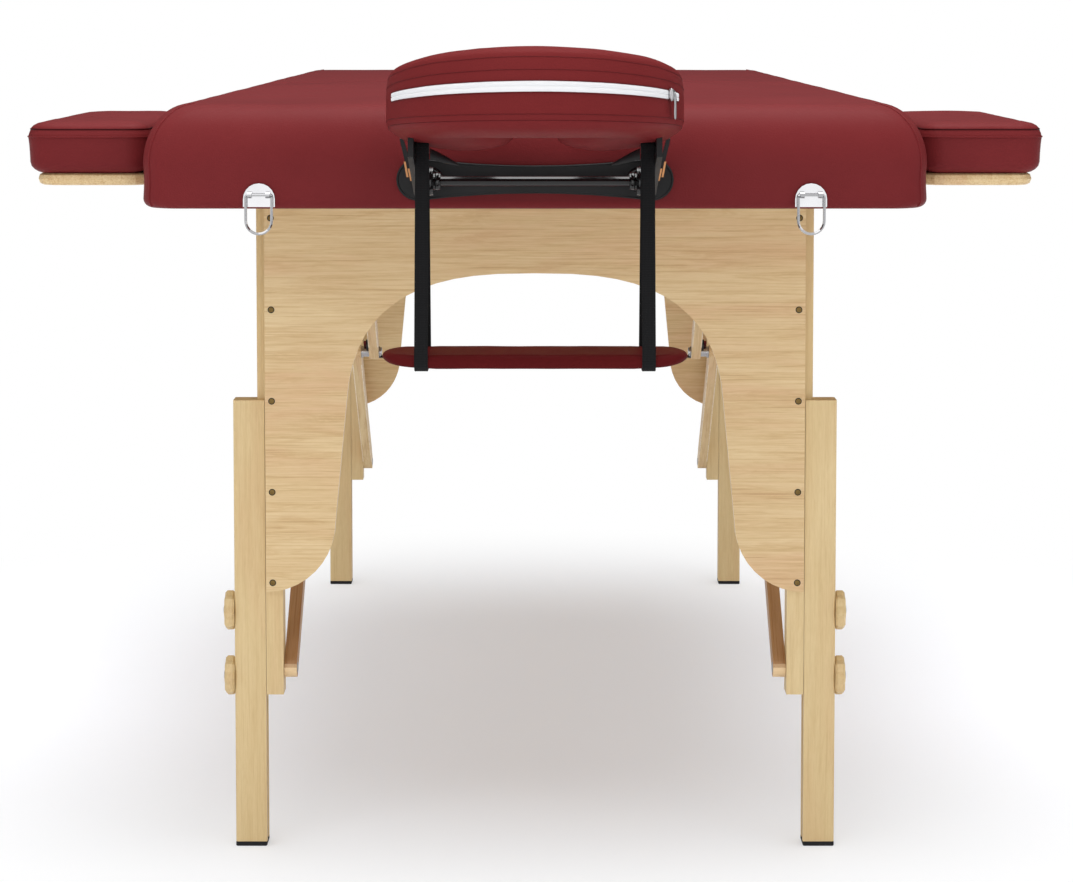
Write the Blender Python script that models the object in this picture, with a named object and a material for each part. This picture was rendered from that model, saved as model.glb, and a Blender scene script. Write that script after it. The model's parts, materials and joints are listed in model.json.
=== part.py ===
"""Folding massage table with a face cradle, an arm shelf and side armrests.

Metres, +Z up, floor at zero, head end towards -Y. Both halves are drawn with their outer end towards +Y
and the fold at zero, and the head half is turned round.
"""

from math import atan2, cos, hypot, pi, radians, sin, sqrt, tan

import bmesh
import bpy
from mathutils import Vector

# Fits
CLEAR = 0.0003
PIN_CLEAR = 0.0004
BORE_CLEAR = 0.0006

# Table top
TABLE_LENGTH = 1.854
TABLE_WIDTH = 0.750
TOP_HEIGHT = 0.775
PAD_HEIGHT = 0.102
PAD_CROWN = 0.003
PAD_CORNER = 0.026
PAD_EDGE_IN = 0.042
PAD_EDGE_RISE = 0.0565
PAD_LIP = 0.009
PAD_DRAWN_IN = 0.0015
SKIRT_WALL = 0.010
FOLD_GAP = 0.0005
FOLD_WALL = 0.002
FOLD_SOFTNESS = 0.16
RAIL_HEIGHT = 0.036
RAIL_THICK = 0.018
CENTRE_RAIL = 0.008
FRAME_RISE = 0.0005
DECK_THICK = 0.004

# Centre hinge
HINGE_LEAF = 0.0012
HINGE_KNUCKLE_RADIUS = 0.0024
HINGE_PIN_RADIUS = 0.0011
HINGE_LENGTH = 0.70
HINGE_KNUCKLES = 9
HINGE_KNUCKLE_GAP = 0.001

# Legs
LEG_INSET = 0.203
LEG_DEPTH = 0.027
LEG_SPREAD = 0.6176
OUTER_LEG_WIDTH = 0.032
OUTER_LEG_TOP = 0.464
OUTER_LEG_CHAMFER = 0.0015
INNER_LEG_WIDTH = 0.0176
INNER_LEG_BOTTOM = 0.159
TONGUE_REACH = 0.0084
TONGUE_WIDTH = 0.009
FOOT_PAD_HEIGHT = 0.005
FOOT_PAD_BEVEL = 0.0012
LEG_PIVOT_RADIUS = 0.004
LEG_PIVOT_ROOM = 0.0015
LEG_FOLD = radians(89)
ROD_SEAT = 0.014

# Height knobs
HOLE_PITCH = 0.034
STEPS_UP = 4
STEPS_DOWN = 2
KNOB_STEPS = 2
KNOB_RISE = 0.0175
KNOB_RADIUS = 0.0205
KNOB_LOBE = 0.0012
KNOB_LOBES = 8
KNOB_THICK = 0.0102
KNOB_EDGE = 0.0022
STUD_RADIUS = 0.0035
STUD_STOP = 0.0035

# Arched end panel
PANEL_THICK = 0.009
PANEL_SIDE = 0.0012
PANEL_TOP = 0.008
PANEL_TIP = 0.2675
ARCH_TOP = 0.5952
ARCH_HALF_WIDTH = 0.193
ARCH_RISE = 0.1652
ARCH_POWER = 2.77
LIMB_TIP_RISE = 0.0725
LIMB_TIP_RUN = 0.0712

# Braces
BRACE_THICK = 0.013
BRACE_DEPTH = 0.020
BRACE_RISE = 0.0256
BRACE_ANCHOR = 0.025
BRACE_PIN_RADIUS = 0.004
BRACE_PIN_REACH = 0.017
KNEE_SPACER = 0.0118
KNEE_BOSS_RADIUS = 0.006
KNEE_DOME = 0.003
BLOCK_WIDTH = 0.024
BLOCK_REACH = 0.034
KNEE_BAR_RADIUS = 0.002
KNEE_BAR_ALONG = 0.004
KNEE_BAR_BELOW = 0.0055
KNEE_BAR_SEAT = 0.008

# D-rings
RING_SPACING = 0.5238
RING_PLATE_WIDTH = 0.0302
RING_PLATE_HEIGHT = 0.0225
RING_PLATE_THICK = 0.002
RING_PLATE_RISE = 0.0023
RING_WIRE = 0.0015
RING_HALF_WIDTH = 0.0123
RING_DROP = 0.037
RING_PIVOT_RISE = 0.0116
RING_LUG_OFFSET = 0.0086
RING_LUG_WIDTH = 0.004
RING_LUG_WALL = 0.0012

# Face cradle
CRADLE_STANDOFF = 0.030
POST_SPACING = 0.197
POST_RADIUS = 0.008
POST_RISE = 0.0285
POST_REACH = 0.127
KNUCKLE_RADIUS = 0.0135
KNUCKLE_THICK = 0.006
TILT_ROD_RADIUS = 0.0048
COLLAR_RADIUS = 0.0082
COLLAR_LENGTH = 0.0065
OUTLET_END_RADIUS = 0.0202
OUTLET_WAIST = 0.0132
OUTLET_LENGTH = 0.263
OUTLET_THICK = 0.004
CRADLE_TILT = radians(8.7)
CUSHION_LENGTH = 0.253
CUSHION_WIDTH = 0.268
CUSHION_LIMB = 0.084
CUSHION_THICK = 0.075
CUSHION_SEAM = 0.008
CUSHION_WALL = 0.0613
CUSHION_RECESS = 0.0106
CUSHION_RECESS_WIDTH = 0.050
CUSHION_BACK = 0.012
CUSHION_RISE = 0.0205
CUSHION_MOUTH = radians(39)
PLATFORM_THICK = 0.004
PLATFORM_LIMB = 0.046
PLATFORM_DROP = 0.003
BRACKET_OUTSET = 0.010
BRACKET_THICK = 0.005
BRACKET_BOSS_RADIUS = 0.010
BRACKET_DEPTH = 0.010
BRACKET_UPSTAND = 0.034
HANGER_RUN = 0.113
HANGER_RADIUS = 0.005
LEVER_LENGTH = 0.040
LEVER_WIDTH = 0.011
LEVER_THICK = 0.0042
LEVER_CAM_RADIUS = 0.005

# Arm shelf
SHELF_WIDTH = 0.2765
SHELF_DEPTH = 0.085
SHELF_THICK = 0.015
SHELF_HANG = 0.1941
STRAP_WIDTH = 0.0122
STRAP_THICK = 0.002

# Side armrests
ARMREST_START = 0.082
ARMREST_LENGTH = 0.345
ARMREST_WIDTH = 0.122
ARMREST_PAD_HEIGHT = 0.051
ARMREST_CROWN = 0.005
ARMREST_CORNER = 0.024
ARMREST_EDGE = 0.011
ARMREST_BOARD_THICK = 0.0115
ARMREST_BOARD_INSET = 0.0085
ARMREST_GAP = 0.0015
DOWEL_RADIUS = 0.0045
DOWEL_SPACING = 0.240
DOWEL_REACH = 0.060
DOWEL_RISE = 0.0233

# Facets
ROUND_SIDES = 12
PIN_SIDES = 10
CORNER_STEPS = 4
CRADLE_STEPS = 20
EDGE_STEPS = 5

# Places worked out from the sizes above
HALF_LENGTH = TABLE_LENGTH / 2
HALF_WIDTH = TABLE_WIDTH / 2
SKIRT_BOTTOM = TOP_HEIGHT - PAD_HEIGHT
FRAME_BOTTOM = SKIRT_BOTTOM + FRAME_RISE
FRAME_TOP = FRAME_BOTTOM + RAIL_HEIGHT
DECK_BOTTOM = FRAME_TOP + CLEAR
DECK_TOP = DECK_BOTTOM + DECK_THICK
FRAME_INSET = SKIRT_WALL + CLEAR
FRAME_START = FOLD_GAP + FOLD_WALL + CLEAR
HINGE_Z = SKIRT_BOTTOM - CLEAR - HINGE_KNUCKLE_RADIUS
HINGE_LEAF_END = FRAME_START + CENTRE_RAIL
LEG_Y = HALF_LENGTH - LEG_INSET - LEG_DEPTH / 2
LEG_PIVOT_Z = DECK_BOTTOM - LEG_DEPTH / 2 - LEG_PIVOT_ROOM
LEG_OUTSIDE = LEG_SPREAD / 2
OUTER_LEG_INSIDE = LEG_OUTSIDE - OUTER_LEG_WIDTH
INNER_LEG_OUTSIDE = OUTER_LEG_INSIDE - PIN_CLEAR
INNER_LEG_INSIDE = INNER_LEG_OUTSIDE - INNER_LEG_WIDTH
TONGUE_END = INNER_LEG_OUTSIDE + TONGUE_REACH
KNOB_LOW = INNER_LEG_BOTTOM + KNOB_RISE
KNOB_HEIGHTS = (KNOB_LOW, KNOB_LOW + KNOB_STEPS * HOLE_PITCH)
LOWER_BRACE_OUTSIDE = INNER_LEG_INSIDE - CLEAR
LOWER_BRACE_INSIDE = LOWER_BRACE_OUTSIDE - BRACE_THICK
UPPER_BRACE_OUTSIDE = LOWER_BRACE_INSIDE - KNEE_SPACER
UPPER_BRACE_INSIDE = UPPER_BRACE_OUTSIDE - BRACE_THICK
LOWER_PIVOT = (LEG_Y, INNER_LEG_BOTTOM + BRACE_RISE)
UPPER_PIVOT = (BRACE_ANCHOR, LEG_PIVOT_Z - (LEG_Y - BRACE_ANCHOR) / tan(LEG_FOLD))
ROD_END = HALF_WIDTH - FRAME_INSET - RAIL_THICK + ROD_SEAT
POST_X = POST_SPACING / 2
POST_Z = SKIRT_BOTTOM + POST_RISE
CRADLE_Y = HALF_LENGTH + CRADLE_STANDOFF
KNUCKLE_OUTSIDE = POST_X + KNUCKLE_THICK / 2
BRACKET_INSIDE = POST_X + BRACKET_OUTSET
BRACKET_OUTSIDE = BRACKET_INSIDE + BRACKET_THICK
PLATFORM_TOP = CUSHION_RISE + CUSHION_RECESS - BORE_CLEAR
PLATFORM_LOW = PLATFORM_TOP - PLATFORM_THICK
STRAP_X = BRACKET_INSIDE - CLEAR - STRAP_WIDTH / 2 - PIN_CLEAR
CUSHION_RUN = (CUSHION_WIDTH - CUSHION_LIMB) / 2
CUSHION_REACH = (CUSHION_LENGTH - CUSHION_LIMB) / (1 + cos(CUSHION_MOUTH))
CUSHION_CENTRE = CUSHION_BACK + CUSHION_LENGTH - CUSHION_LIMB / 2 - CUSHION_REACH
CUSHION_FRONT = (CUSHION_BACK + CUSHION_LENGTH) * cos(CRADLE_TILT) - (CUSHION_RISE + CUSHION_SEAM) * sin(CRADLE_TILT)
CRADLE_REACH = CRADLE_STANDOFF + CUSHION_FRONT
ARMREST_MIDDLE = HALF_LENGTH - ARMREST_START - ARMREST_LENGTH / 2
DOWEL_Z = SKIRT_BOTTOM + DOWEL_RISE

MATERIALS = {
    "vinyl": ((0.17, 0.022, 0.026, 1), 0.48, 0.0),
    "beech": ((0.58, 0.40, 0.21, 1), 0.5, 0.0),
    "plywood": ((0.52, 0.37, 0.21, 1), 0.6, 0.0),
    "rubber": ((0.012, 0.012, 0.013, 1), 0.75, 0.0),
    "chrome": ((0.72, 0.72, 0.74, 1), 0.14, 1.0),
    "steel": ((0.35, 0.35, 0.36, 1), 0.35, 1.0),
    "black_steel": ((0.012, 0.012, 0.013, 1), 0.28, 0.6),
    "black_plastic": ((0.016, 0.016, 0.017, 1), 0.5, 0.0),
    "webbing": ((0.014, 0.014, 0.015, 1), 0.8, 0.0),
}


def clear_scene():
    for item in list(bpy.data.objects):
        bpy.data.objects.remove(item, do_unlink=True)


def make_material(name):
    colour, roughness, metallic = MATERIALS[name]
    material = bpy.data.materials.new(name)
    material.use_nodes = True
    shader = material.node_tree.nodes["Principled BSDF"]
    shader.inputs["Base Color"].default_value = colour
    shader.inputs["Roughness"].default_value = roughness
    shader.inputs["Metallic"].default_value = metallic
    return material


def empty(name, parent=None, place=(0, 0, 0), turn=(0, 0, 0)):
    item = bpy.data.objects.new(name, None)
    item.parent = parent
    item.location = place
    item.rotation_euler = turn
    bpy.context.scene.collection.objects.link(item)
    return item


def add(name, shape, material, parent, origin=(0, 0, 0)):
    """One closed solid, given in its parent's frame, with its own origin at origin."""
    points, faces = shape
    work = bmesh.new()
    corners = [work.verts.new(Vector(point) - Vector(origin)) for point in points]
    for face in faces:
        work.faces.new([corners[index] for index in face])
    bmesh.ops.recalc_face_normals(work, faces=work.faces)
    mesh = bpy.data.meshes.new(name)
    work.to_mesh(mesh)
    work.free()
    if material:
        mesh.materials.append(material)
    mesh.shade_smooth()
    mesh.set_sharp_from_angle(angle=radians(35))
    item = bpy.data.objects.new(name, mesh)
    item.parent = parent
    item.location = origin
    bpy.context.scene.collection.objects.link(item)
    return item


def combine(target, shape, operation):
    helper = add(f"{target.name}_{operation.lower()}", shape, None, target.parent)
    helper.hide_render = True
    helper.display_type = "WIRE"
    step = target.modifiers.new(operation.lower(), "BOOLEAN")
    step.operation = operation
    step.object = helper


def cut(target, *shapes):
    combine(target, together(*shapes), "DIFFERENCE")


def fuse(target, *shapes):
    combine(target, together(*shapes), "UNION")


def together(*shapes):
    points, faces = [], []
    for shape_points, shape_faces in shapes:
        start = len(points)
        points += shape_points
        faces += [tuple(start + index for index in face) for face in shape_faces]
    return points, faces


def place_along(axis, a, b, along):
    return {"x": (along, a, b), "y": (a, along, b), "z": (a, b, along)}[axis]


def loft(rings, closed=False):
    """Skin over rings of equal count, capped unless the last ring meets the first."""
    count = len(rings[0])
    points = [point for ring in rings for point in ring]
    faces = []
    for ring in range(len(rings) if closed else len(rings) - 1):
        start = ring * count
        after = (ring + 1) % len(rings) * count
        for index in range(count):
            following = (index + 1) % count
            faces.append((start + index, start + following, after + following, after + index))
    if not closed:
        faces.append(tuple(range(count)))
        faces.append(tuple(range(len(points) - count, len(points))))
    return points, faces


def prism(outline, axis, low, high):
    return loft([[place_along(axis, a, b, along) for a, b in outline] for along in (low, high)])


def arc(radius, start, end, steps, centre=(0, 0)):
    angles = [start + (end - start) * step / steps for step in range(steps + 1)]
    return [(centre[0] + radius * cos(angle), centre[1] + radius * sin(angle)) for angle in angles]


def circle(radius, centre=(0, 0), sides=ROUND_SIDES):
    return arc(radius, 0, 2 * pi, sides, centre)[:-1]


def rod(axis, radius, low, high, centre, sides=ROUND_SIDES):
    return prism(circle(radius, centre, sides), axis, low, high)


def box(x, y, z):
    return prism([(x[0], y[0]), (x[1], y[0]), (x[1], y[1]), (x[0], y[1])], "z", *z)


def mirrored(shape, side):
    points, faces = shape
    return [(side * x, y, z) for x, y, z in points], faces


def plan(half_width, near, far, near_radius, far_radius):
    """Outline of a half: round corners at its outer end, nearly square ones at the fold."""
    right, left = half_width - far_radius, far_radius - half_width
    outer = far - far_radius
    points = arc(far_radius, 0, pi / 2, CORNER_STEPS, (right, outer))
    points += arc(far_radius, pi / 2, pi, CORNER_STEPS, (left, outer))
    inner = near + near_radius
    points += arc(near_radius, pi, pi * 1.5, 1, (near_radius - half_width, inner))
    points += arc(near_radius, pi * 1.5, pi * 2, 1, (half_width - near_radius, inner))
    return points


def half_ring(inset, height, fold_inset=None):
    fold_inset = inset * FOLD_SOFTNESS if fold_inset is None else fold_inset
    corner = max(PAD_CORNER - inset, PAD_CORNER / 4)
    outline = plan(HALF_WIDTH - inset, FOLD_GAP + fold_inset, HALF_LENGTH - inset, PAD_CORNER / 8, corner)
    return [(x, y, height) for x, y in outline]


def edge_curve(steps):
    return [(1 - cos(angle), sin(angle)) for angle in (pi / 2 * step / steps for step in range(steps + 1))]


def build_top(half, name, materials):
    shoulder = TOP_HEIGHT - PAD_CROWN - PAD_EDGE_RISE
    lip_top = SKIRT_BOTTOM + PAD_LIP
    rings = [half_ring(SKIRT_WALL, DECK_TOP + CLEAR, FOLD_WALL)]
    rings.append(half_ring(SKIRT_WALL, SKIRT_BOTTOM, FOLD_WALL))
    for along, up in reversed(edge_curve(3)):
        rings.append(half_ring(PAD_LIP * (1 - sqrt(1 - up * up)) if up < 1 else PAD_LIP, lip_top - PAD_LIP * up))
    rings.append(half_ring(PAD_DRAWN_IN, (lip_top + shoulder) / 2))
    for along, up in edge_curve(EDGE_STEPS):
        rings.append(half_ring(PAD_EDGE_IN * along, shoulder + PAD_EDGE_RISE * up))
    flat = HALF_WIDTH - PAD_EDGE_IN
    for share in (0.25, 0.5, 0.75):
        crown = PAD_CROWN * (1 - (1 - share) ** 2)
        rings.append(half_ring(PAD_EDGE_IN + flat * share, shoulder + PAD_EDGE_RISE + crown))
    add(f"{name}_pad", loft(rings), materials["vinyl"], half)

    rail = FRAME_INSET + RAIL_THICK
    fold = FRAME_START - FOLD_GAP
    outer = [half_ring(FRAME_INSET, height, fold) for height in (FRAME_BOTTOM, FRAME_TOP)]
    inner = [half_ring(rail, height, fold + CENTRE_RAIL) for height in (FRAME_TOP, FRAME_BOTTOM)]
    frame = add(f"{name}_frame", loft(outer + inner, closed=True), materials["beech"], half)
    block_inside = UPPER_BRACE_OUTSIDE + CLEAR
    block_floor = UPPER_PIVOT[1] - BRACE_PIN_RADIUS - PIN_CLEAR - CENTRE_RAIL / 2
    block = box((block_inside, block_inside + BLOCK_WIDTH),
                (FRAME_START + CENTRE_RAIL / 2, FRAME_START + CENTRE_RAIL + BLOCK_REACH),
                (max(block_floor, FRAME_BOTTOM), FRAME_TOP))
    fuse(frame, mirrored(block, 1), mirrored(block, -1))
    anchor = rod("x", BRACE_PIN_RADIUS + PIN_CLEAR, block_inside - CLEAR,
                 UPPER_BRACE_OUTSIDE + BRACE_PIN_REACH + BORE_CLEAR, UPPER_PIVOT, PIN_SIDES)
    pivot_end = ROD_END + CLEAR
    cut(frame, mirrored(anchor, 1), mirrored(anchor, -1),
        rod("x", LEG_PIVOT_RADIUS + PIN_CLEAR, -pivot_end, pivot_end, (LEG_Y, LEG_PIVOT_Z)))

    deck = [half_ring(FRAME_INSET, height, fold) for height in (DECK_BOTTOM, DECK_TOP)]
    add(f"{name}_deck", loft(deck), materials["plywood"], half)
    add(f"{name}_leg_pivot_rod", rod("x", LEG_PIVOT_RADIUS, -ROD_END, ROD_END, (LEG_Y, LEG_PIVOT_Z)),
        materials["steel"], half, (0, LEG_Y, LEG_PIVOT_Z))


def build_hinge_leaf(half, name, materials, carries_pin):
    """Leaf with every other knuckle; one leaf carries the pin, the other has the bores."""
    leaf_top = SKIRT_BOTTOM - CLEAR
    leaf = box((-HINGE_LENGTH / 2, HINGE_LENGTH / 2),
               (HINGE_KNUCKLE_RADIUS + BORE_CLEAR, HINGE_LEAF_END), (leaf_top - HINGE_LEAF, leaf_top))
    item = add(f"{name}_hinge_leaf", leaf, materials["steel"], half, (0, 0, HINGE_Z))
    pitch = HINGE_LENGTH / HINGE_KNUCKLES
    first = 0 if carries_pin else 1
    knuckles = []
    for index in range(first, HINGE_KNUCKLES, 2):
        start = -HINGE_LENGTH / 2 + index * pitch + HINGE_KNUCKLE_GAP / 2
        end = start + pitch - HINGE_KNUCKLE_GAP
        curl = arc(HINGE_KNUCKLE_RADIUS, pi / 2, 2 * pi, 9, (0, HINGE_Z))
        shelf = leaf_top - HINGE_LEAF
        tail = HINGE_KNUCKLE_RADIUS + BORE_CLEAR + HINGE_LEAF
        curl += [(HINGE_KNUCKLE_RADIUS, shelf), (tail, shelf), (tail, leaf_top)]
        knuckles.append(prism(curl, "x", start, end))
    fuse(item, *knuckles)
    reach = HINGE_LENGTH / 2
    if carries_pin:
        fuse(item, rod("x", HINGE_PIN_RADIUS, -reach + pitch / 2, reach - pitch / 2, (0, HINGE_Z), PIN_SIDES))
    else:
        cut(item, rod("x", HINGE_PIN_RADIUS + PIN_CLEAR, -reach, reach, (0, HINGE_Z), PIN_SIDES))


def arch_outline():
    """End panel in X and Z: superellipse arch, sloping limbs and tips rounded on the inside."""
    edge = INNER_LEG_OUTSIDE - PANEL_SIDE
    springing = ARCH_TOP - ARCH_RISE
    angles = [pi / 2 * step / 15 for step in range(1, 16)]
    arch = []
    for angle in angles:
        run = ARCH_HALF_WIDTH * cos(angle) ** (2 / ARCH_POWER) if angle < pi / 2 else 0
        arch.append((run, springing + ARCH_RISE * sin(angle) ** (2 / ARCH_POWER)))
    tip = []
    for step in range(11):
        angle = pi / 2 * step / 10
        tip.append((edge - LIMB_TIP_RUN * sin(angle), PANEL_TIP + LIMB_TIP_RISE * (1 - cos(angle))))
    right = [(edge, LEG_PIVOT_Z + PANEL_TOP)] + tip + arch[:-1]
    left = [(-x, z) for x, z in reversed(right)]
    return right + [arch[-1]] + left


def inner_leg_ring(side, half_depth, height):
    tongue = min(TONGUE_WIDTH / 2, half_depth * 0.9)
    outline = [(INNER_LEG_INSIDE, -half_depth), (INNER_LEG_OUTSIDE, -half_depth),
               (INNER_LEG_OUTSIDE, -tongue), (TONGUE_END, -tongue),
               (TONGUE_END, tongue), (INNER_LEG_OUTSIDE, tongue),
               (INNER_LEG_OUTSIDE, half_depth), (INNER_LEG_INSIDE, half_depth)]
    return [(side * x, LEG_Y + y, height) for x, y in outline]


def build_inner_leg(half, name, side, materials):
    half_depth = LEG_DEPTH / 2
    rings = [inner_leg_ring(side, half_depth, INNER_LEG_BOTTOM)]
    for step in range(4):
        angle = radians(26) * step
        rings.append(inner_leg_ring(side, half_depth * cos(angle), LEG_PIVOT_Z + half_depth * sin(angle)))
    leg = add(name, loft(rings), materials["beech"], half, (0, LEG_Y, LEG_PIVOT_Z))
    brace_hole = rod("x", BRACE_PIN_RADIUS + PIN_CLEAR, INNER_LEG_INSIDE - CLEAR,
                     LOWER_BRACE_OUTSIDE + BRACE_PIN_REACH + BORE_CLEAR, LOWER_PIVOT, PIN_SIDES)
    holes = [mirrored(brace_hole, side)]
    holes.append(rod("x", LEG_PIVOT_RADIUS + PIN_CLEAR, side * (INNER_LEG_INSIDE - CLEAR),
                     side * (TONGUE_END + CLEAR), (LEG_Y, LEG_PIVOT_Z)))
    for height in KNOB_HEIGHTS:
        holes.append(rod("x", STUD_RADIUS + PIN_CLEAR, side * (INNER_LEG_INSIDE + STUD_STOP - CLEAR),
                         side * (TONGUE_END + CLEAR), (LEG_Y, height), PIN_SIDES))
    cut(leg, *holes)


def build_outer_leg(half, name, side, materials):
    half_depth = LEG_DEPTH / 2
    groove = TONGUE_WIDTH / 2 + PIN_CLEAR
    floor = TONGUE_END + PIN_CLEAR
    chamfer = OUTER_LEG_CHAMFER
    outline = [(OUTER_LEG_INSIDE, -half_depth), (OUTER_LEG_INSIDE, -groove), (floor, -groove),
               (floor, groove), (OUTER_LEG_INSIDE, groove), (OUTER_LEG_INSIDE, half_depth),
               (LEG_OUTSIDE - chamfer, half_depth), (LEG_OUTSIDE, half_depth - chamfer),
               (LEG_OUTSIDE, chamfer - half_depth), (LEG_OUTSIDE - chamfer, -half_depth)]
    outline = [(side * x, LEG_Y + y) for x, y in outline]
    leg = add(name, prism(outline, "z", FOOT_PAD_HEIGHT, OUTER_LEG_TOP), materials["beech"], half,
              (side * LEG_OUTSIDE, LEG_Y, 0))
    lowest = KNOB_LOW - STEPS_UP * HOLE_PITCH
    count = STEPS_UP + STEPS_DOWN + KNOB_STEPS + 1
    holes = []
    for index in range(count):
        height = lowest + index * HOLE_PITCH
        holes.append(rod("x", STUD_RADIUS + PIN_CLEAR, side * (floor - PIN_CLEAR),
                         side * (LEG_OUTSIDE + CLEAR), (LEG_Y, height), PIN_SIDES))
    cut(leg, *holes)


def build_foot_pad(half, name, side, materials):
    rings = []
    for inset, height in ((FOOT_PAD_BEVEL, 0), (0, FOOT_PAD_BEVEL), (0, FOOT_PAD_HEIGHT - CLEAR)):
        x = (side * (OUTER_LEG_INSIDE + inset), side * (LEG_OUTSIDE - inset))
        y = (LEG_Y - LEG_DEPTH / 2 + inset, LEG_Y + LEG_DEPTH / 2 - inset)
        rings.append([(x[0], y[0], height), (x[1], y[0], height), (x[1], y[1], height), (x[0], y[1], height)])
    add(name, loft(rings), materials["rubber"], half, (side * LEG_OUTSIDE, LEG_Y, 0))


def build_knob(half, name, side, height, materials):
    """Lobed wooden knob with its stud through both legs."""
    count = KNOB_LOBES * 4
    near = LEG_OUTSIDE + CLEAR
    far = near + KNOB_THICK
    stations = [(INNER_LEG_INSIDE + STUD_STOP, 0, STUD_RADIUS), (near, 0, STUD_RADIUS),
                (near, KNOB_LOBE, KNOB_RADIUS - KNOB_EDGE), (near + KNOB_EDGE, KNOB_LOBE, KNOB_RADIUS),
                (far - KNOB_EDGE, KNOB_LOBE, KNOB_RADIUS), (far, KNOB_LOBE, KNOB_RADIUS - KNOB_EDGE)]
    rings = []
    for along, lobe, radius in stations:
        ring = []
        for index in range(count):
            angle = 2 * pi * index / count
            reach = radius - lobe + lobe * cos(KNOB_LOBES * angle)
            ring.append((side * along, LEG_Y + reach * cos(angle), height + reach * sin(angle)))
        rings.append(ring)
    add(name, loft(rings), materials["beech"], half, (side * near, LEG_Y, height))


def brace_lengths():
    """Arm lengths that lie in one line both when the legs stand and when they are folded."""
    drop = LEG_PIVOT_Z - LOWER_PIVOT[1]
    folded = (LEG_Y - drop * sin(LEG_FOLD), LEG_PIVOT_Z - drop * cos(LEG_FOLD))
    straight = hypot(LOWER_PIVOT[0] - UPPER_PIVOT[0], LOWER_PIVOT[1] - UPPER_PIVOT[1])
    shut = hypot(folded[0] - UPPER_PIVOT[0], folded[1] - UPPER_PIVOT[1])
    return (straight - shut) / 2, (straight + shut) / 2


def arm_outline(start, angle, length):
    radius = BRACE_DEPTH / 2
    end = (start[0] + length * cos(angle), start[1] + length * sin(angle))
    points = arc(radius, angle - pi / 2, angle + pi / 2, 8, end)
    return points + arc(radius, angle + pi / 2, angle + pi * 1.5, 8, start)


def build_braces(half, name, side, label, materials):
    lower_length, upper_length = brace_lengths()
    rise = atan2(UPPER_PIVOT[1] - LOWER_PIVOT[1], UPPER_PIVOT[0] - LOWER_PIVOT[0])
    lower = prism(arm_outline(LOWER_PIVOT, rise, lower_length), "x", LOWER_BRACE_INSIDE, LOWER_BRACE_OUTSIDE)
    arm = add(f"{name}_lower_brace_{label}", mirrored(lower, side), materials["beech"], half, (0, *LOWER_PIVOT))
    pin = rod("x", BRACE_PIN_RADIUS, LOWER_BRACE_OUTSIDE - BRACE_THICK / 2,
              LOWER_BRACE_OUTSIDE + BRACE_PIN_REACH, LOWER_PIVOT, PIN_SIDES)
    fuse(arm, mirrored(pin, side))

    fall = rise + pi
    knee = (UPPER_PIVOT[0] + upper_length * cos(fall), UPPER_PIVOT[1] + upper_length * sin(fall))
    upper = prism(arm_outline(UPPER_PIVOT, fall, upper_length), "x", UPPER_BRACE_INSIDE, UPPER_BRACE_OUTSIDE)
    arm = add(f"{name}_upper_brace_{label}", mirrored(upper, side), materials["beech"], half, (0, *UPPER_PIVOT))
    middle = UPPER_BRACE_OUTSIDE - BRACE_THICK / 2
    pin = rod("x", BRACE_PIN_RADIUS, middle, UPPER_BRACE_OUTSIDE + BRACE_PIN_REACH, UPPER_PIVOT, PIN_SIDES)
    boss = rod("x", KNEE_BOSS_RADIUS, UPPER_BRACE_INSIDE - KNEE_DOME, LOWER_BRACE_INSIDE - CLEAR, knee)
    fuse(arm, mirrored(pin, side), mirrored(boss, side))
    return arm, knee, fall


def build_knee_bar(half, name, arms, knee, fall, materials):
    below = fall - pi / 2
    centre = (knee[0] + KNEE_BAR_ALONG * cos(fall) + KNEE_BAR_BELOW * cos(below),
              knee[1] + KNEE_BAR_ALONG * sin(fall) + KNEE_BAR_BELOW * sin(below))
    end = UPPER_BRACE_INSIDE + KNEE_BAR_SEAT
    add(f"{name}_knee_bar", rod("x", KNEE_BAR_RADIUS, -end, end, centre, PIN_SIDES),
        materials["black_steel"], half, (0, *UPPER_PIVOT))
    for arm in arms:
        cut(arm, rod("x", KNEE_BAR_RADIUS + CLEAR, -end - CLEAR, end + CLEAR, centre, PIN_SIDES))


def build_legs(half, name, facing, materials):
    front = LEG_Y + LEG_DEPTH / 2 + CLEAR
    add(f"{name}_end_panel", prism(arch_outline(), "y", front, front + PANEL_THICK), materials["beech"], half,
        (0, LEG_Y, LEG_PIVOT_Z))
    arms = []
    for side in (1, -1):
        label = "right" if side * facing > 0 else "left"
        build_inner_leg(half, f"{name}_inner_leg_{label}", side, materials)
        build_outer_leg(half, f"{name}_outer_leg_{label}", side, materials)
        build_foot_pad(half, f"{name}_foot_pad_{label}", side, materials)
        for level, height in zip(("low", "high"), KNOB_HEIGHTS):
            build_knob(half, f"{name}_knob_{level}_{label}", side, height, materials)
        arm, knee, fall = build_braces(half, name, side, label, materials)
        arms.append(arm)
    if name == "foot":
        build_knee_bar(half, name, arms, knee, fall, materials)


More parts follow.
